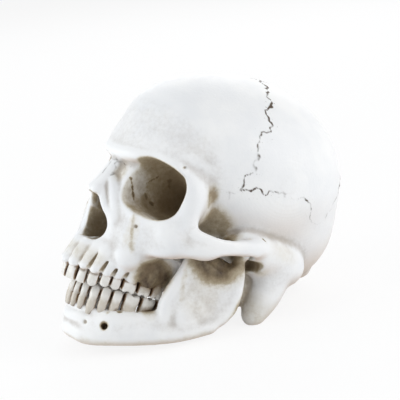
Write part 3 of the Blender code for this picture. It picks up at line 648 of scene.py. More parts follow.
def cranium_form():
    """All bones above the jaw as one field, and the same with the braincase filled."""
    form = Form()
    vault = vault_field()
    form.field = np.clip(np.maximum(vault, -(vault + VAULT_WALL)), -FAR, FAR)
    form.ball(*MAGNUM, blend=3.0, carve=True)
    form.balls(MASSES, blend=JOIN)
    for centre, radii, angle in SLABS:
        for side in (1, -1):
            c, s = math.cos(math.radians(angle)), math.sin(math.radians(angle)) * side
            form.ball(mirrored(centre, side), radii, blend=JOIN, turn=((c, s, 0), (-s, c, 0), (0, 0, 1)))
    form.runs(BARS, blend=JOIN)
    add_rim(form, UPPER_TEETH, UPPER_ARCH, 1, UPPER_RECESS)
    form.field = box_blur(form.field, reach_for(BONE_SOFTNESS / GRAIN))
    soften(form, SOFT_PLACES, FACE_SOFTNESS, vault)
    form.runs(NOSE_MARGIN, blend=2.5)
    add_root_ridges(form)
    carve_slots(form, UPPER_TEETH, UPPER_ARCH, 1, UPPER_SLOTS, stained=0.7)
    form.balls(NASAL, blend=1.2, carve=True, stained=True)
    for side in (1, -1):
        carve_orbit(form, side)
        start, end, radius = EAR
        form.run([(mirrored(start, side), radius), (mirrored(end, side), radius)], blend=2.0, carve=True,
                 stained=True)
        form.ball(mirrored(CONDYLE[0], side), np.array(CONDYLE[1]) + FOSSA_GAP, blend=2.0, carve=True)
    filled = np.where((vault + VAULT_WALL < -1) & (AXES[1][None, :, None] > BASE_FRONT), -1.0, form.field)
    form.ball(*MAGNUM, blend=2.0, carve=True)
    carve_pits(form, HEAD_PITS)
    form.stand()
    return form, filled


def soften(form, places, softness, inside):
    """Smooths the form once more around the given places, where the braincase counts as filled."""
    for centre, reach in [(mirrored(row[0], side), np.array(row[1], float)) for row in places
                          for side in sides_of([row[0]])]:
        part, (x, y, z) = form.window(centre - reach * 1.2, centre + reach * 1.2)
        away = np.sqrt(((x - centre[0]) / reach[0]) ** 2 + ((y - centre[1]) / reach[1]) ** 2
                       + ((z - centre[2]) / reach[2]) ** 2)
        share = np.clip((1.15 - away) / 0.4, 0, 1)
        near = np.minimum(form.field[part], inside[part] + 1)
        smooth = box_blur(near, reach_for(softness / GRAIN))
        form.field[part] += share * (smooth - form.field[part])


def jaw_form():
    """The lower jaw as one field."""
    form = Form()
    form.runs(JAW_BARS, blend=JOIN)
    form.balls(RAMUS, blend=JOIN)
    form.plate(RAMUS_PLATE, RAMUS_MIDDLE, RAMUS_SLOPE, RAMUS_THICK, RAMUS_ROUNDING, RAMUS_JOIN)
    form.balls((CONDYLE,), blend=JOIN)
    add_rim(form, LOWER_TEETH, LOWER_ARCH, -1, LOWER_RECESS)
    form.field = box_blur(form.field, reach_for(JAW_SOFTNESS / GRAIN))
    carve_slots(form, LOWER_TEETH, LOWER_ARCH, -1, LOWER_SLOTS, stained=1.0)
    carve_pits(form, JAW_PITS)
    form.stand()
    return form


def reach_for(softness):
    """Reaches of three box blurs that together are about as soft as a bell of this width in grid steps."""
    reach = (math.sqrt(4 * softness * softness + 1) - 1) / 2
    low = max(int(reach), 0)
    part = reach - low
    return [low + (part > share) for share in (0.25, 0.5, 0.75)]


def box_blur(field, reaches):
    """A field blurred by cubes of the given reaches, one after another."""
    for reach in reaches:
        if not reach:
            continue
        for axis in range(3):
            total = np.cumsum(field, axis=axis, dtype=np.float64)
            n = field.shape[axis]
            high = np.minimum(np.arange(n) + reach, n - 1)
            low = np.arange(n) - reach - 1
            upper = np.take(total, high, axis=axis)
            lower = np.take(total, np.maximum(low, 0), axis=axis)
            shape = [1, 1, 1]
            shape[axis] = n
            lower = lower * (low >= 0).reshape(shape)
            field = ((upper - lower) / (2 * reach + 1)).astype(np.float32)
    return field


def mesh_object(name, points, faces, attributes, normals=None):
    """A smooth mesh from arrays, laid down as the skull lies, with its attributes."""
    used = np.unique(faces)
    place = np.full(len(points), -1)
    place[used] = np.arange(len(used))
    matrix = np.array(PLACED)
    spots = points[used] @ matrix[:3, :3].T + matrix[:3, 3]
    mesh = bpy.data.meshes.new(name)
    sides = faces.shape[1]
    mesh.vertices.add(len(used))
    mesh.vertices.foreach_set("co", spots.astype(np.float32).ravel())
    mesh.loops.add(faces.size)
    mesh.loops.foreach_set("vertex_index", place[faces].astype(np.int32).ravel())
    mesh.polygons.add(len(faces))
    mesh.polygons.foreach_set("loop_start", np.arange(0, faces.size, sides, dtype=np.int32))
    mesh.polygons.foreach_set("use_smooth", np.ones(len(faces), bool))
    mesh.update(calc_edges=True)
    mesh.validate()
    for key, values in attributes.items():
        layer = mesh.attributes.new(key, "FLOAT", "POINT")
        layer.data.foreach_set("value", values[used].astype(np.float32))
    if normals is not None:
        turned = normals[used] @ np.array(PLACED.to_3x3().normalized()).T
        mesh.normals_split_custom_set_from_vertices([tuple(n) for n in turned])
    obj = bpy.data.objects.new(name, mesh)
    bpy.context.scene.collection.objects.link(obj)
    return obj


def vertex_normals(points, faces):
    a, b = points[faces[:, 2]] - points[faces[:, 0]], points[faces[:, 3]] - points[faces[:, 1]]
    face = np.cross(a, b)
    normals = np.zeros_like(points)
    for k in range(4):
        for axis in range(3):
            normals[:, axis] += np.bincount(faces[:, k], face[:, axis], len(points))
    return normals / np.maximum(np.linalg.norm(normals, axis=1), 1e-12)[:, None]


# Sutures. The front view of the braincase from a point inside it tells the parietal bones apart
APEX = np.array([0.0, 0.0, 35.0])
CORONAL = ((0, -15, 108), (12, -22, 104), (23, -22.3, 100), (34, -27, 94), (40.5, -24.5, 91),
           (43.5, -29.5, 87), (44.5, -33.5, 85), (48, -32.5, 81.5), (52.5, -29, 77.5), (55.5, -29.3, 73),
           (55, -37, 69.5), (57, -36.2, 64), (59.5, -37.5, 56), (61, -35.5, 49), (60, -38.5, 42.5),
           (58.2, -39.5, 32))
SQUAMOUS = ((58.2, -39.5, 32), (60.2, -34, 32.5), (62.2, -30, 36.5), (63, -25, 35), (64.2, -20.5, 38),
            (65.3, -10.5, 39.8), (64.6, 2, 40.7), (63, 9, 40.6), (61, 14.5, 37), (58.6, 20, 31), (55, 29, 27))
LAMBDOID = ((55, 29, 27), (50, 37, 40), (41, 44, 55), (24, 53, 70), (0, 58, 79))
SAGITTAL = ((0, 58, 79), (0, 46, 90), (0, 30, 100), (0, 8, 108), (0, -15, 108))
FRONTAL_EDGE = ((-125, 24), (-84, 24), (-58, 24), (-50, 29.4), (-42, 29.2), (-36, 34), (-8, 60), (-8, 135),
                (-125, 135))
NASAL_EDGE = ((0, 25), (0, -12), (6.5, -12), (6, 4), (4.5, 25))
NASAL_DEPTH = (-125, -88)
ZYGOMATIC_EDGE = ((-27, 4), (-22, -8), (-13, -17), (-2, -34), (34, -34), (34, 12), (12, 25), (-15, 25))
ZYGOMATIC_AXIS = math.radians(53)
ZYGOMATIC_DEPTH = (-150, -69)
MAXILLA_EDGE = ((-125, 30), (-62, 30), (-56, 16), (-54, -8), (-43, -16), (-43, -70), (-125, -70))
MAXILLA_REACH = 44
TEMPORAL_EDGE = ((90, -62), (56, -44), (46, -36), (26, -30), (10, -21), (26, 2), (34, 14), (44, 25), (58, 30),
                 (90, 38))
SPHENOID_EDGE = ((-90, -110), (90, -110), (90, -23), (-90, -23))


def edge_distance(across, upward, polygon):
    """Signed distance to a closed outline, negative inside."""
    least = np.full(len(across), 1e9)
    inside = np.zeros(len(across), bool)
    for (ax, ay), (bx, by) in zip(polygon, polygon[1:] + polygon[:1]):
        ex, ey = bx - ax, by - ay
        wx, wy = across - ax, upward - ay
        share = np.clip((wx * ex + wy * ey) / max(ex * ex + ey * ey, 1e-12), 0, 1)
        least = np.minimum(least, np.hypot(wx - share * ex, wy - share * ey))
        if ay != by:
            left = across < (bx - ax) * (upward - ay) / (by - ay) + ax
            inside ^= ((ay > upward) != (by > upward)) & left
    return np.where(inside, -least, least)


def parietal_distance(points, side):
    """Distance to a parietal bone's outline, measured on a view from the apex and scaled to the surface."""
    outline = [mirrored(p, side) for p in CORONAL[:-1] + SQUAMOUS[:-1] + LAMBDOID[:-1] + SAGITTAL[:-1]]
    axis = mirrored((0.62, 0.12, 0.55), side)
    axis /= np.linalg.norm(axis)
    first = np.cross(axis, (0, 0, 1.0))
    first /= np.linalg.norm(first)
    second = np.cross(first, axis)
    flat = []
    for point in outline:
        ray = point - APEX
        flat.append(((ray @ first) / (ray @ axis), (ray @ second) / (ray @ axis)))
    rays = points - APEX
    ahead = rays @ axis
    safe = np.maximum(ahead, 1e-3)
    distance = edge_distance((rays @ first) / safe, (rays @ second) / safe, flat)
    return np.where(ahead > 1, distance * np.minimum(safe, 60), 50.0)


LABELS = ("occipital_bone", "left_parietal_bone", "right_parietal_bone", "left_nasal_bone",
          "right_nasal_bone", "left_zygomatic_bone", "right_zygomatic_bone", "frontal_bone", "left_maxilla",
          "right_maxilla", "left_temporal_bone", "right_temporal_bone", "sphenoid_bone")


def region_distances(points):
    """Distance to each bone's region, in the order in which the regions are given out."""
    x, y, z = points.T
    sides = ((1, "left_"), (-1, "right_"))
    found = [(name + "parietal_bone", parietal_distance(points, side)) for side, name in sides]
    for side, name in sides:
        depth = np.maximum(NASAL_DEPTH[0] - y, y - NASAL_DEPTH[1])
        found.append((name + "nasal_bone", np.maximum(edge_distance(x * side, z, NASAL_EDGE), depth)))
    for side, name in sides:
        across = x * math.sin(ZYGOMATIC_AXIS) * side + y * math.cos(ZYGOMATIC_AXIS)
        depth = -x * math.cos(ZYGOMATIC_AXIS) * side + y * math.sin(ZYGOMATIC_AXIS)
        depth = np.maximum(ZYGOMATIC_DEPTH[0] - depth, depth - ZYGOMATIC_DEPTH[1])
        found.append((name + "zygomatic_bone", np.maximum(edge_distance(across, z, ZYGOMATIC_EDGE), depth)))
    found.append(("frontal_bone", edge_distance(y, z, FRONTAL_EDGE)))
    for side, name in sides:
        depth = np.maximum(-x * side, x * side - MAXILLA_REACH)
        found.append((name + "maxilla", np.maximum(edge_distance(y, z, MAXILLA_EDGE), depth)))
    for side, name in sides:
        depth = np.maximum(-80 - z, z - 90)
        found.append((name + "temporal_bone", np.maximum(edge_distance(x * side, y, TEMPORAL_EDGE), depth)))
    found.append(("sphenoid_bone", edge_distance(x, y, SPHENOID_EDGE)))
    return found


def labelled(points):
    """The bone of every place, its distance to the nearest seam, and the seam's ink."""
    wobble = np.stack([noise(points, 5.0, seed) for seed in (11, 12, 13)], 1) * 1.6
    wobble += np.stack([noise(points, 2.2, seed) for seed in (14, 15, 16)], 1) * 1.1
    # The face's seams run calmer than the braincase's
    calm = np.clip((points[:, 2] + 5) / 30, 0.25, 1)[:, None]
    label = np.zeros(len(points), int)
    seam, vault_seam = np.full(len(points), 50.0), np.full(len(points), 50.0)
    free = np.ones(len(points), bool)
    for name, distance in region_distances(points + wobble * calm):
        mine = free & (distance < 0)
        near = np.abs(distance[free])
        seam[free] = np.minimum(seam[free], near)
        if "parietal" in name:
            vault_seam[free] = np.minimum(vault_seam[free], near)
        label[mine] = LABELS.index(name)
        free &= ~mine
    return label, seam, seam_ink(points, seam, vault_seam)


def seam_ink(points, seam, vault_seam):
    """How much wash the seams hold: most in the coronal one, little in the face's, in broken stretches."""
    x, y, z = points.T
    ink = np.full(len(points), 0.10)
    vault = vault_seam < seam + 0.2
    coronal = vault & (y < -14) & (z > 31)
    ink[vault] = np.interp(np.abs(x[vault]), (20, 44, 56), (0.85, 0.7, 0.2))
    squamous = vault & (y > -42) & (y < 22) & (z > 27) & (z < 48)
    ink[squamous] = np.interp(y[squamous], (-42, -24, -14, 0, 8, 12, 20),
                              (1.1, 0.9, 0.4, 0.4, 0.9, 0.6, 0.35))
    ink[coronal] = np.interp(z[coronal], (32, 44, 60, 70, 100), (0.9, 0.65, 0.75, 1.3, 1.3))
    ink[(np.abs(x) < 14) & (y < -88) & (z > 14)] = 0.5
    ink[(y > -56) & (y < -40) & (z > 24) & (z < 36) & ~coronal] = 0.3
    broken = np.clip(0.75 + 0.7 * noise(points, 4.0, 31) + 0.5 * noise(points, 1.7, 32), 0.12, 1.2)
    return ink * broken


def tidy_labels(label, faces, count):
    """Gives loose islands of a bone to the bone around them."""
    face_label = label[faces[:, 0]]
    for _ in range(3):
        parent = np.arange(count)
        same = (label[faces] == face_label[:, None]).all(axis=1)
        pairs = np.concatenate([faces[same][:, [0, 1]], faces[same][:, [1, 2]], faces[same][:, [2, 3]]])
        for _ in range(60):
            root = np.minimum(parent[pairs[:, 0]], parent[pairs[:, 1]])
            before = parent.copy()
            np.minimum.at(parent, pairs[:, 0], root)
            np.minimum.at(parent, pairs[:, 1], root)
            np.minimum.at(parent, before, parent)
            for _ in range(6):
                parent = parent[parent]
            if (parent == before).all():
                break
        size = np.bincount(parent, minlength=count)
        keep = np.zeros(count, bool)
        for k in range(len(LABELS)):
            mine = np.where(label == k)[0]
            if len(mine):
                roots = parent[mine]
                big = size[roots] > 0.04 * len(mine)
                keep[mine[big]] = True
        if keep.all():
            break
        for _ in range(80):
            lost = ~keep
            if not lost.any():
                break
            for a, b in ((0, 1), (1, 2), (2, 3), (3, 0), (1, 0), (2, 1), (3, 2), (0, 3)):
                fa, fb = faces[:, a], faces[:, b]
                take = ~keep[fa] & keep[fb]
                label[fa[take]] = label[fb[take]]
                keep[fa[take]] = True
        face_label = label[faces[:, 0]]
    return label


TOOTH_SIDES = 32
# How far the crowns of the front teeth lean outwards, as a share of their depth, and where cusps start
UPPER_LEAN = 0.10
LOWER_LEAN = 0.02
CUSP_START = 0.55
TIPS = {"blade": 1.015, "point": 1.05, "table": 0.80}
# Rings of a tooth from the root's end (-1) over the neck (0) to the bite (1):
# height, width, depth and squareness
CROWNS = {
    "blade": ((-1.0, 0.30, 0.34, 2.1), (-0.55, 0.56, 0.62, 2.1), (-0.10, 0.76, 0.84, 2.1),
              (0.0, 0.78, 0.90, 2.1), (0.05, 0.81, 0.95, 2.1), (0.14, 0.85, 0.98, 2.1),
              (0.30, 0.92, 0.95, 2.1), (0.50, 0.98, 0.84, 2.2), (0.70, 1.02, 0.68, 2.3),
              (0.86, 1.03, 0.52, 2.5), (0.96, 1.0, 0.40, 2.6), (1.0, 0.93, 0.26, 2.5)),
    "point": ((-1.0, 0.28, 0.34, 2.1), (-0.55, 0.56, 0.66, 2.1), (-0.10, 0.78, 0.88, 2.1),
              (0.0, 0.80, 0.94, 2.1), (0.06, 0.83, 0.99, 2.1), (0.18, 0.89, 1.02, 2.1),
              (0.36, 0.97, 1.0, 2.1), (0.55, 1.02, 0.90, 2.2), (0.70, 1.0, 0.76, 2.2),
              (0.84, 0.88, 0.58, 2.2), (0.94, 0.64, 0.40, 2.2), (1.0, 0.30, 0.20, 2.0)),
    "table": ((-1.0, 0.30, 0.34, 2.1), (-0.55, 0.58, 0.64, 2.1), (-0.10, 0.86, 0.86, 2.2),
              (0.0, 0.88, 0.90, 2.2), (0.06, 0.90, 0.95, 2.3), (0.20, 0.95, 1.01, 2.3),
              (0.42, 1.0, 1.04, 2.4), (0.62, 1.03, 1.0, 2.5), (0.80, 1.01, 0.94, 2.5),
              (0.92, 0.92, 0.83, 2.5), (0.98, 0.76, 0.68, 2.5), (0.90, 0.36, 0.34, 2.4)),
}
COLUMN = ((-1.0, 0.50, 0.60, 2.2), (-0.50, 0.86, 0.90, 2.4), (-0.10, 0.90, 0.97, 2.6))


def loft(rings, cap_low, cap_high):
    """Points and four-sided faces of a closed tube of rings."""
    count = len(rings[0])
    points = [p for ring in rings for p in ring]
    faces = []
    for k in range(len(rings) - 1):
        for i in range(count):
            j = (i + 1) % count
            faces.append((k * count + i, k * count + j, (k + 1) * count + j, (k + 1) * count + i))
    low, high = len(points), len(points) + 1
    points += [cap_low, cap_high]
    top = (len(rings) - 1) * count
    for i in range(0, count, 2):
        j, k = (i + 1) % count, (i + 2) % count
        faces.append((low, k, j, i))
        faces.append((high, top + i, top + j, top + k))
    return np.array(points, float), np.array(faces)


def ring_places(spec, share, w, d, power):
    """Places around one ring of a tooth: along the arch, out of it, and how much they rise."""
    kind, width, depth, crown, root, form = spec
    molar = kind.endswith("_molar")
    for i in range(TOOTH_SIDES):
        angle = 2 * math.pi * i / TOOTH_SIDES
        cx, cy = math.cos(angle), math.sin(angle)
        scale = (abs(cx) ** power + abs(cy) ** power) ** (-1 / power)
        px, py = cx * scale * (width - TOOTH_GAP) / 2 * w, cy * scale * depth / 2 * d
        rise = 0.0
        if form == "table" and share > CUSP_START:
            # Cusps at the corners, or two across a premolar
            cusp = abs(math.sin(2 * angle)) if molar else abs(math.sin(angle))
            rise = (share - CUSP_START) / (1 - CUSP_START) * (cusp ** 1.4 - 0.55) * 1.5
        if molar and 0.0 < share < 0.9:
            # The groove down the outer side
            py *= 1 - 0.10 * math.exp(-(px / (0.16 * width)) ** 2) * share
        if -0.10 <= share < 0.5:
            # The neck line dips towards the root on the outer and inner sides
            rise -= 0.9 * (cy ** 2 - 0.5) * max(0, 1 - abs(share) / 0.3)
        yield px, py, rise


def tooth_shape(spec, arch, run, upward):
    """Fine crown and root of one tooth: rings along its height with cusps or an edge at the top."""
    kind, width, depth, crown, root, form = spec
    foot, along, out = arch_point(arch, run)
    neck = rising(arch, "bite", foot) - upward * crown
    lean = 0.0
    if form != "table":
        crown += OVERBITE if upward < 0 else 0
        lean = (UPPER_LEAN if upward < 0 else LOWER_LEAN) * depth
    # The lower roots stand free as thick columns below the crowns
    profile = CROWNS[form] if upward < 0 else COLUMN + CROWNS[form][3:]
    rings, heights = [], []
    for share, w, d, power in profile:
        height = neck + upward * share * (root if share < 0 else crown)
        middle = foot + out * lean * max(share, 0)
        rings.append([middle + along * px + out * py + np.array([0, 0, height + upward * rise])
                      for px, py, rise in ring_places(spec, share, w, d, power)])
        heights += [share] * TOOTH_SIDES
    low_cap = foot + np.array([0, 0, neck - upward * root * 1.06])
    high_cap = foot + out * lean + np.array([0, 0, neck + upward * crown * TIPS[form]])
    points, faces = loft(rings, low_cap, high_cap)
    # The outside of the faces must look outwards
    corners = points[faces[0]]
    facing = np.cross(corners[2] - corners[0], corners[3] - corners[1])
    if facing @ (corners.mean(axis=0) - points.mean(axis=0)) < 0:
        faces = faces[:, ::-1]
    return points, faces, np.array(heights + [-1.0, 1.0])


class Nodes:
    """A node tree that is laid out by short calls."""

    def __init__(self, tree):
        self.tree = tree

    def node(self, kind, **values):
        node = self.tree.nodes.new(kind)
        for key, value in values.items():
            setattr(node, key, value)
        return node

    def link(self, source, target):
        if isinstance(source, (int, float)):
            target.default_value = source
        elif isinstance(source, tuple):
            target.default_value = source if len(source) == len(target.default_value) else source + (1.0,)
        else:
            self.tree.links.new(source, target)

    def made(self, kind, output, inputs, **values):
        """An output of a new node whose inputs are set or linked."""
        node = self.node(kind, **values)
        for key, source in inputs.items():
            self.link(source, node.inputs[key])
        return node.outputs[output]

    def math(self, kind, a, b, clamp=False):
        return self.made("ShaderNodeMath", 0, {0: a, 1: b}, operation=kind, use_clamp=clamp)

    def blend(self, share, first, second):
        return self.made("ShaderNodeMixShader", 0, {0: share, 1: first, 2: second})

    def seen(self):
        """1 where the camera sees a thing, straight or in a reflection, and 0 where it only lights others."""
        path = self.node("ShaderNodeLightPath").outputs
        mirror = self.math("MAXIMUM", path["Is Glossy Ray"], path["Is Transmission Ray"])
        return self.math("MAXIMUM", path["Is Camera Ray"], mirror)


class Shader(Nodes):
    """The nodes of a new material."""

    def __init__(self, name):
        self.material = bpy.data.materials.new(name)
        self.material.use_nodes = True
        super().__init__(self.material.node_tree)
        self.surface = next(n for n in self.tree.nodes if n.type == "BSDF_PRINCIPLED")
        self.place = self.node("ShaderNodeTexCoord").outputs["Object"]

    def set(self, key, source):
        self.link(source, self.surface.inputs[key])

    def value(self, name):
        return self.node("ShaderNodeAttribute", attribute_name=name).outputs["Fac"]

    def spread(self, source, low, high, to_low=0.0, to_high=1.0):
        inputs = {"Value": source, "From Min": low, "From Max": high, "To Min": to_low, "To Max": to_high}
        return self.made("ShaderNodeMapRange", "Result", inputs, interpolation_type="SMOOTHSTEP")

    def mix(self, share, a, b):
        inputs = {"Factor": share, "A": a, "B": b}
        return self.made("ShaderNodeMix", "Result", inputs, data_type="RGBA", blend_type="MIX")

    def grain(self, scale, detail=3.0, rough=0.6, seed=0.0):
        """Noise from 0 to 1; scale counts waves in a metre."""
        place = self.place
        if seed:
            shift = (seed, seed * 1.7, -seed)
            place = self.made("ShaderNodeVectorMath", 0, {0: place, 1: shift}, operation="ADD")
        inputs = {"Vector": place, "Scale": scale, "Detail": detail, "Roughness": rough}
        return self.made("ShaderNodeTexNoise", "Fac", inputs)

    def bump(self, height, strength, depth):
        inputs = {"Strength": strength, "Distance": depth, "Height": height}
        self.set("Normal", self.made("ShaderNodeBump", "Normal", inputs))


def sheen(red, green, blue):
    """A display colour from 0 to 255 as the linear values that a material takes."""
    values = []
    for part in (red, green, blue):
        part /= 255
        values.append(part / 12.92 if part <= 0.04045 else ((part + 0.055) / 1.055) ** 2.4)
    return tuple(values) + (1.0,)


# Display colours from 0 to 255
RESIN = ((238, 239, 240), (247, 247, 246))
# Painted warm floor bounce and shade on the undersides
UNDERSIDE_BOUNCE_AND_SHADE = (200, 178, 158)
# Brown of creases and corners: wash with painted shade
CREASE_WASH_AND_SHADE = (132, 112, 86)
INK = (74, 58, 42)
SPECK = (104, 88, 68)
IVORY = ((227, 224, 217), (240, 238, 234))
NECK = (176, 160, 134)
# Dark line where a tooth leaves the bone: wash and painted contact shade
NECK_LINE_WASH_AND_SHADE = (112, 88, 62)
# Brown of the teeth's wash, standing also for painted shade on the back teeth
TOOTH_WASH_AND_SHADE = (136, 116, 86)
# Dark of the gaps between teeth: wash and painted shade
GAP_WASH_AND_SHADE = ((150, 122, 90), (74, 54, 38))
# The wash and painted shade from thin to thick: its amount, how much it covers, its colour
WASH_AND_SHADE_RAMP = ((0.05, 0.0, (222, 216, 200)), (0.30, 0.5, (212, 204, 186)), (0.50, 0.95, (178, 164, 138)),
        (0.72, 1.0, (138, 122, 96)), (0.95, 1.0, (66, 50, 36)))


def bone_material():
    """White cast resin with a brown wash that stays in hollows, along the seams and in the pores, with
    painted shade in recesses and creases and a painted warm bounce on the undersides.
    """
    s = Shader("bone_resin")
    wash_and_shade = s.value("wash_and_shade")
    base = s.mix(s.spread(s.grain(28, 4.0), 0.3, 0.7), sheen(*RESIN[0]), sheen(*RESIN[1]))
    # Undersides get a painted warm, darker tint: the floor's light reflected into them, and the shade beneath
    normal = s.node("ShaderNodeNewGeometry").outputs["Normal"]
    down = s.made("ShaderNodeSeparateXYZ", 2, {0: normal})
    base = s.mix(s.math("MULTIPLY", s.spread(down, -0.1, -0.9), 0.8), base, sheen(*UNDERSIDE_BOUNCE_AND_SHADE))
    mottle = s.math("MULTIPLY", s.math("SUBTRACT", s.grain(90, 4.0, 0.62, 0.23), 0.5), 0.60)
    rough_edge = s.math("MULTIPLY", s.math("SUBTRACT", s.grain(420, seed=0.31), 0.5), 0.26)
    uneven = s.math("MULTIPLY", s.math("ADD", mottle, rough_edge), s.spread(wash_and_shade, 0.04, 0.3))
    # One ramp turns the amount into wash colour and painted shade
    ramp = s.node("ShaderNodeValToRGB")
    elements = ramp.color_ramp.elements
    elements.remove(elements[1])
    elements[0].position = WASH_AND_SHADE_RAMP[0][0]
    for place, cover, shade in WASH_AND_SHADE_RAMP[1:]:
        elements.new(place)
    for element, (place, cover, shade) in zip(elements, WASH_AND_SHADE_RAMP):
        element.color = sheen(*shade)[:3] + (cover,)
    s.link(s.math("ADD", wash_and_shade, uneven), ramp.inputs["Fac"])
    colour = s.mix(ramp.outputs["Alpha"], base, ramp.outputs["Color"])
    # Creases and corners, where much solid lies close, darken: wash and painted shade
    crease_wash_and_shade = s.spread(s.math("ADD", s.value("crease_wash_and_shade"), rough_edge), 0.30, 0.85)
    colour = s.mix(s.math("MULTIPLY", crease_wash_and_shade, 0.55), colour, sheen(*CREASE_WASH_AND_SHADE))
    colour = s.mix(s.spread(s.value("seam"), 0.03, 0.75), colour, sheen(*INK))
    speck = s.math("MULTIPLY", s.spread(s.grain(900, 2.0, 0.5, 0.77), 0.66, 0.74), s.value("speckle"))
    s.set("Base Color", s.mix(speck, colour, sheen(*SPECK)))
    s.set("Roughness", s.spread(s.grain(160, seed=0.13), 0.3, 0.7, 0.38, 0.52))
    s.set("Specular IOR Level", 0.35)
    relief = s.math("ADD", s.math("MULTIPLY", s.grain(700, seed=0.2), 0.5), s.grain(110, 4.0, seed=0.5))
    s.bump(relief, 0.3, 0.0006)
    return s.material


def tooth_material():
    """Ivory resin with a satin skin; the necks and the gaps between the teeth hold a brown wash with painted
    shade, and painted shade darkens the inner sides and the back teeth.
    """
    s = Shader("tooth_resin")
    wash_and_shade, gap_wash_and_shade = s.value("wash_and_shade"), s.value("gap_wash_and_shade")
    colour = s.mix(s.spread(s.grain(160), 0.3, 0.7), sheen(*IVORY[0]), sheen(*IVORY[1]))
    uneven = s.math("MULTIPLY", s.math("SUBTRACT", s.grain(420, seed=0.61), 0.5), 0.5)
    neck = s.spread(s.math("ADD", s.value("height"), s.math("MULTIPLY", uneven, 0.6)), 0.42, -0.15)
    colour = s.mix(s.math("MULTIPLY", neck, 0.5), colour, sheen(*NECK))
    # The gaps between teeth and the inner sides darken: wash and painted shade
    gap_wash_and_shade = s.math("ADD", gap_wash_and_shade, s.math("MULTIPLY", uneven, s.spread(gap_wash_and_shade, 0.02, 0.3)), clamp=True)
    # The back teeth darken: painted shade, partly wash
    shade = s.math("ADD", wash_and_shade, s.math("MULTIPLY", uneven, s.spread(wash_and_shade, 0.05, 0.3)))
    colour = s.mix(s.math("MULTIPLY", s.spread(shade, 0.1, 0.9), 0.9), colour, sheen(*TOOTH_WASH_AND_SHADE))
    # Where the tooth leaves the bone it darkens: wash and painted contact shade
    colour = s.mix(s.math("MULTIPLY", s.spread(s.value("neck"), 0.2, 0.95), 0.75), colour, sheen(*NECK_LINE_WASH_AND_SHADE))
    colour = s.mix(s.spread(gap_wash_and_shade, 0.05, 0.6), colour, sheen(*GAP_WASH_AND_SHADE[0]))
    s.set("Base Color", s.mix(s.spread(gap_wash_and_shade, 0.45, 0.95), colour, sheen(*GAP_WASH_AND_SHADE[1])))
    s.set("Roughness", s.spread(s.grain(260, seed=0.4), 0.3, 0.7, 0.27, 0.42))
    s.bump(s.grain(500, seed=0.2), 0.2, 0.0004)
    return s.material


def steel_material():
    """Dull steel of the hinge pins with fine drawn scratches."""
    s = Shader("pin_steel")
    streak = s.grain(900, 2.0, 0.5)
    s.set("Base Color", s.mix(streak, (0.32, 0.32, 0.33, 1.0), (0.52, 0.52, 0.54, 1.0)))
    s.set("Metallic", 1.0)
    s.set("Roughness", s.spread(streak, 0.3, 0.7, 0.28, 0.42))
    return s.material


def dress(piece, body, node, material):
    """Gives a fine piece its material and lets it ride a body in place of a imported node."""
    piece.data.materials.append(material)
    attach(piece, body)
    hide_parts(node)


def nearness(points, centre, reach, fade):
    """1 well within an ellipsoid, fading out just past it."""
    away = np.sqrt((((points - centre) / reach) ** 2).sum(axis=1))
    return np.clip((1.15 - away) / fade, 0, 1)


def wash_and_shade_at(spots, around, carved):
    """The wash and painted shade of every place: in hollows, where much lies around, in stained or shaded
    regions and scratches.
    """
    mirror = np.column_stack([np.abs(spots[:, 0]), spots[:, 1], spots[:, 2]])
    hollow = np.clip((WASH_DEPTH - np.abs(carved)) / 1.2, 0, 1) * HOLLOW_WASH
    # Where much lies around a place, and deeper in hollows, it darkens: painted shade, partly wash
    deep = hollow + 0.10 * np.clip((around - 0.62) * 3, 0, 1) * (hollow > 0.3)
    wash_and_shade = np.maximum(np.clip((around - 0.56) * 2.4, 0, 0.5), deep)
    hidden = np.clip((around - 0.38) * 8, 0, 1)
    for centre, reach, strength, in_hollows in WASH_AND_SHADE_SPOTS:
        share = nearness(mirror, centre, reach, 0.7)
        share = strength * share * share * (3 - 2 * share)
        wash_and_shade = np.maximum(wash_and_shade, share * hidden if in_hollows else share)
    for centre, reach, strength in WIPED:
        wash_and_shade *= 1 - strength * nearness(mirror, centre, reach, 0.6)
    for path, width, strength in SCRATCHES_AND_SHADE_LINES:
        least = np.full(len(spots), FAR_AWAY)
        for a, b in zip(path, path[1:]):
            a, span = np.array(a, float), np.array(b, float) - np.array(a, float)
            share = np.clip(((mirror - a) @ span) / (span @ span), 0, 1)
            least = np.minimum(least, np.linalg.norm(mirror - a - share[:, None] * span, axis=1))
        least += 0.7 * noise(spots, 2.5, 41) + 0.5 * noise(spots, 1.1, 42)
        wash_and_shade = np.maximum(wash_and_shade, strength * np.clip(1.3 - least / width, 0, 1))
    return wash_and_shade


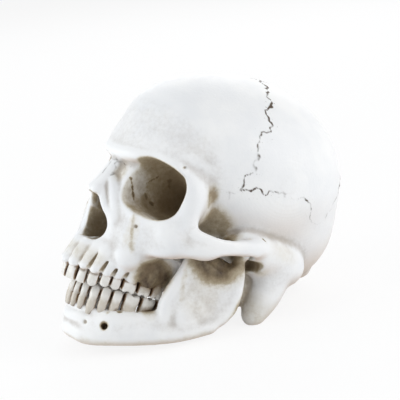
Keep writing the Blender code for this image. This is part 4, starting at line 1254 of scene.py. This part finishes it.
def build_bones(materials):
    """The fine bones of both bodies; gives back the two fields for the teeth."""
    head, head_filled = cranium_form()
    jaw = jaw_form()
    # How much of the space around each place is filled tells where a wash would stay and where shade falls;
    # both are painted into the colour
    solid = (np.minimum(head_filled, jaw.field) < 0).astype(np.float32)
    wide = box_blur(solid[::2, ::2, ::2], (6, 6))
    middle = box_blur(solid, (4, 4))
    near = box_blur(solid, (2, 2))

    # Gives the wash values, with painted shade, of a form's surface
    def washes(form, points, normals):
        probe = points + normals * PROBE
        # Nearness of solid just off the surface: painted shade in creases, partly wash
        crease_wash_and_shade = (sampled(near, probe) - 0.5) * 2.6 + (sampled(middle, probe) - 0.5) * 1.4
        return {"wash_and_shade": wash_and_shade_at(points, sampled(wide, probe, 2), sampled(form.hollow, points)),
                "crease_wash_and_shade": np.clip(crease_wash_and_shade, 0, 1)}

    points, faces = head.skin()
    label, seam, ink = labelled(points)
    label = tidy_labels(label, faces, len(points))
    normals = vertex_normals(points, faces)
    # These values carry the wash and painted shade, with the seams' ink
    wash = washes(head, points, normals)
    wash["seam"] = np.clip(1.25 - seam / 0.75, 0, 1) * ink
    wash["speckle"] = np.clip(1 - seam / 7.0, 0, 1) * np.clip(points[:, 2] / 20, 0, 1) * ink
    groove = np.exp(-(seam / 0.6) ** 2) * (0.10 + 0.35 * np.clip(ink, 0, 1))
    points = points - normals * groove[:, None]
    face_label = np.sort(label[faces], axis=1)[:, 1]
    for k, name in enumerate(LABELS):
        piece = mesh_object("fine_" + name, points, faces[face_label == k], wash, normals)
        dress(piece, "cranium", name, materials["bone"])

    points, faces = jaw.skin()
    normals = vertex_normals(points, faces)
    wash = washes(jaw, points, normals)
    wash["seam"] = wash["speckle"] = np.zeros(len(points))
    piece = mesh_object("fine_mandible", points, faces, wash, normals)
    dress(piece, "jaw", "mandible", materials["bone"])
    return head.field, jaw.field


def build_teeth(materials, head, jaw):
    """All fine teeth, with the wash and painted shade in the gaps, on the inner sides, at the necks and where
    they leave the bone.
    """
    for table, arch, upward, body, jaw_name, bone in (
            (UPPER_TEETH, UPPER_ARCH, -1, "cranium", "upper", head),
            (LOWER_TEETH, LOWER_ARCH, 1, "jaw", "lower", jaw)):
        for name, spec, run in tooth_places(table):
            points, faces, heights = tooth_shape(spec, arch, run, upward)
            foot, along, out = arch_point(arch, run)
            aside = np.abs((points - foot) @ along) / ((spec[1] - TOOTH_GAP) / 2)
            # The sides of each crown towards its neighbours darken: wash and painted shade
            gap_wash_and_shade = np.clip((aside - 0.74) / 0.24, 0, 1) * np.clip((1.15 - heights) / 0.4, 0.2, 1)
            # Painted shade on the inner side of the tooth, towards the mouth
            inner = np.clip(-((points - foot) @ out) / 2, 0, 1)
            inner *= np.clip(0.55 - aside * 0.2, 0, 1) * np.clip((0.25 - heights) / 0.3, 0, 1)
            values = {"height": heights, "gap_wash_and_shade": np.maximum(gap_wash_and_shade, inner),
                      # Painted shade on the back teeth, from the regions of wash and shade
                      "wash_and_shade": wash_and_shade_at(points, np.full(len(points), 0.5), np.full(len(points), FAR)),
                      # Near the bone's surface the tooth darkens: wash and painted contact shade
                      "neck": np.clip(1.3 - np.abs(sampled(bone, points) - 0.2) / 0.6, 0, 1)}
            node = name.replace("_", "_%s_" % jaw_name, 1)
            piece = mesh_object("fine_" + node, points, faces, values)
            dress(piece, body, node, materials["tooth"])


def finish_pins(materials):
    """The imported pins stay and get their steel."""
    for name in ("left_jaw_pin", "right_jaw_pin"):
        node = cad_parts[name]
        node.data.materials.clear()
        node.data.materials.append(materials["steel"])


# Share of the floor's look that is plain white to the camera; the rest keeps the shadow
FLOOR_WHITE = 0.86
WORLD_LIGHT = (0.95, 0.97, 1.0)
WORLD_STRENGTH = 0.44


def add_stage():
    """A plain pale floor that runs into a white surrounding."""
    bpy.ops.mesh.primitive_plane_add(size=6.0, location=(0, 0, -0.0002))
    floor = bpy.context.object
    floor.name = "pale_floor"
    s = Shader("pale_floor")
    s.set("Base Color", s.mix(s.grain(3, 2.0, 0.55), (0.93, 0.93, 0.93, 1.0), (0.96, 0.96, 0.96, 1.0)))
    s.set("Roughness", 0.9)
    white = s.made("ShaderNodeEmission", 0, {"Color": (1, 1, 1, 1), "Strength": 1.0})
    look = s.blend(s.math("MULTIPLY", s.seen(), FLOOR_WHITE), s.surface.outputs[0], white)
    s.link(look, next(n for n in s.tree.nodes if n.type == "OUTPUT_MATERIAL").inputs["Surface"])
    floor.data.materials.append(s.material)

    world = bpy.data.worlds.new("studio")
    bpy.context.scene.world = world
    world.use_nodes = True
    w = Nodes(world.node_tree)
    w.tree.nodes.clear()
    soft = w.made("ShaderNodeBackground", 0, {"Color": WORLD_LIGHT, "Strength": WORLD_STRENGTH})
    white = w.made("ShaderNodeBackground", 0, {"Color": (1, 1, 1, 1), "Strength": 1.0})
    w.link(w.blend(w.seen(), soft, white), w.node("ShaderNodeOutputWorld").inputs["Surface"])


CAMERA_AROUND = math.radians(58.0)
CAMERA_RISE = math.radians(14.0)
CAMERA_NOD = math.radians(23.0)
CAMERA_AWAY = 1.1
CAMERA_FOCUS = 1660.0
PICTURE_CENTRE = (223.0, 237.0)
PICTURE = 400.0
# Lights around a place in the skull, by the camera's right, up and back: size, power and colour
LIT = Vector((0, 0, 0.08))
LIGHTS = (
    ("key", (0.8, 0.5, 0.5), 0.8, 5.7, (1, 1, 1)),
    ("fill", (-0.95, 0.2, 0.3), 0.8, 6.0, (0.95, 0.98, 1.0)),
    ("rim", (0, 0.8, -0.7), 0.9, 3.4, (1, 1, 1)),
)


def camera_matrix():
    """The camera's place around the upright skull, carried over to the skull as it lies."""
    a, e = CAMERA_AROUND, CAMERA_RISE
    back = Vector((math.sin(a) * math.cos(e), -math.cos(a) * math.cos(e), math.sin(e)))
    right = Vector((math.cos(a), math.sin(a), 0))
    up = back.cross(right)
    seen = Matrix((right, up, back)).transposed().to_4x4()
    seen.translation = back * CAMERA_AWAY
    upright = PLACED @ Matrix.Scale(1 / MM, 4)
    return upright @ Matrix.Rotation(-CAMERA_NOD, 4, "X").inverted() @ seen


def add_camera():
    """The camera of the photo's view."""
    data = bpy.data.cameras.new("camera")
    camera = bpy.data.objects.new("camera", data)
    bpy.context.scene.collection.objects.link(camera)
    camera.matrix_world = camera_matrix()
    data.sensor_width = 36
    data.lens = CAMERA_FOCUS / PICTURE * 36
    data.shift_x = (PICTURE / 2 - PICTURE_CENTRE[0]) / PICTURE
    data.shift_y = (PICTURE_CENTRE[1] - PICTURE / 2) / PICTURE
    data.clip_end = 20
    bpy.context.scene.camera = camera
    return camera


def add_light(name, spot, size, power, colour):
    """A soft square light that looks at the skull."""
    data = bpy.data.lights.new(name, "AREA")
    data.energy = power
    data.size = size
    data.color = colour
    light = bpy.data.objects.new(name, data)
    light.location = spot
    light.rotation_euler = (LIT - spot).to_track_quat("-Z", "Y").to_euler()
    bpy.context.scene.collection.objects.link(light)


def build():
    """The whole dressed scene."""
    materials = {"bone": bone_material(), "tooth": tooth_material(), "steel": steel_material()}
    head, jaw = build_bones(materials)
    build_teeth(materials, head, jaw)
    finish_pins(materials)
    add_stage()
    turn = add_camera().matrix_world.to_3x3()
    for name, offset, size, power, colour in LIGHTS:
        add_light(name, LIT + turn @ Vector(offset), size, power, colour)
    bpy.context.scene.view_settings.view_transform = "Standard"


build()
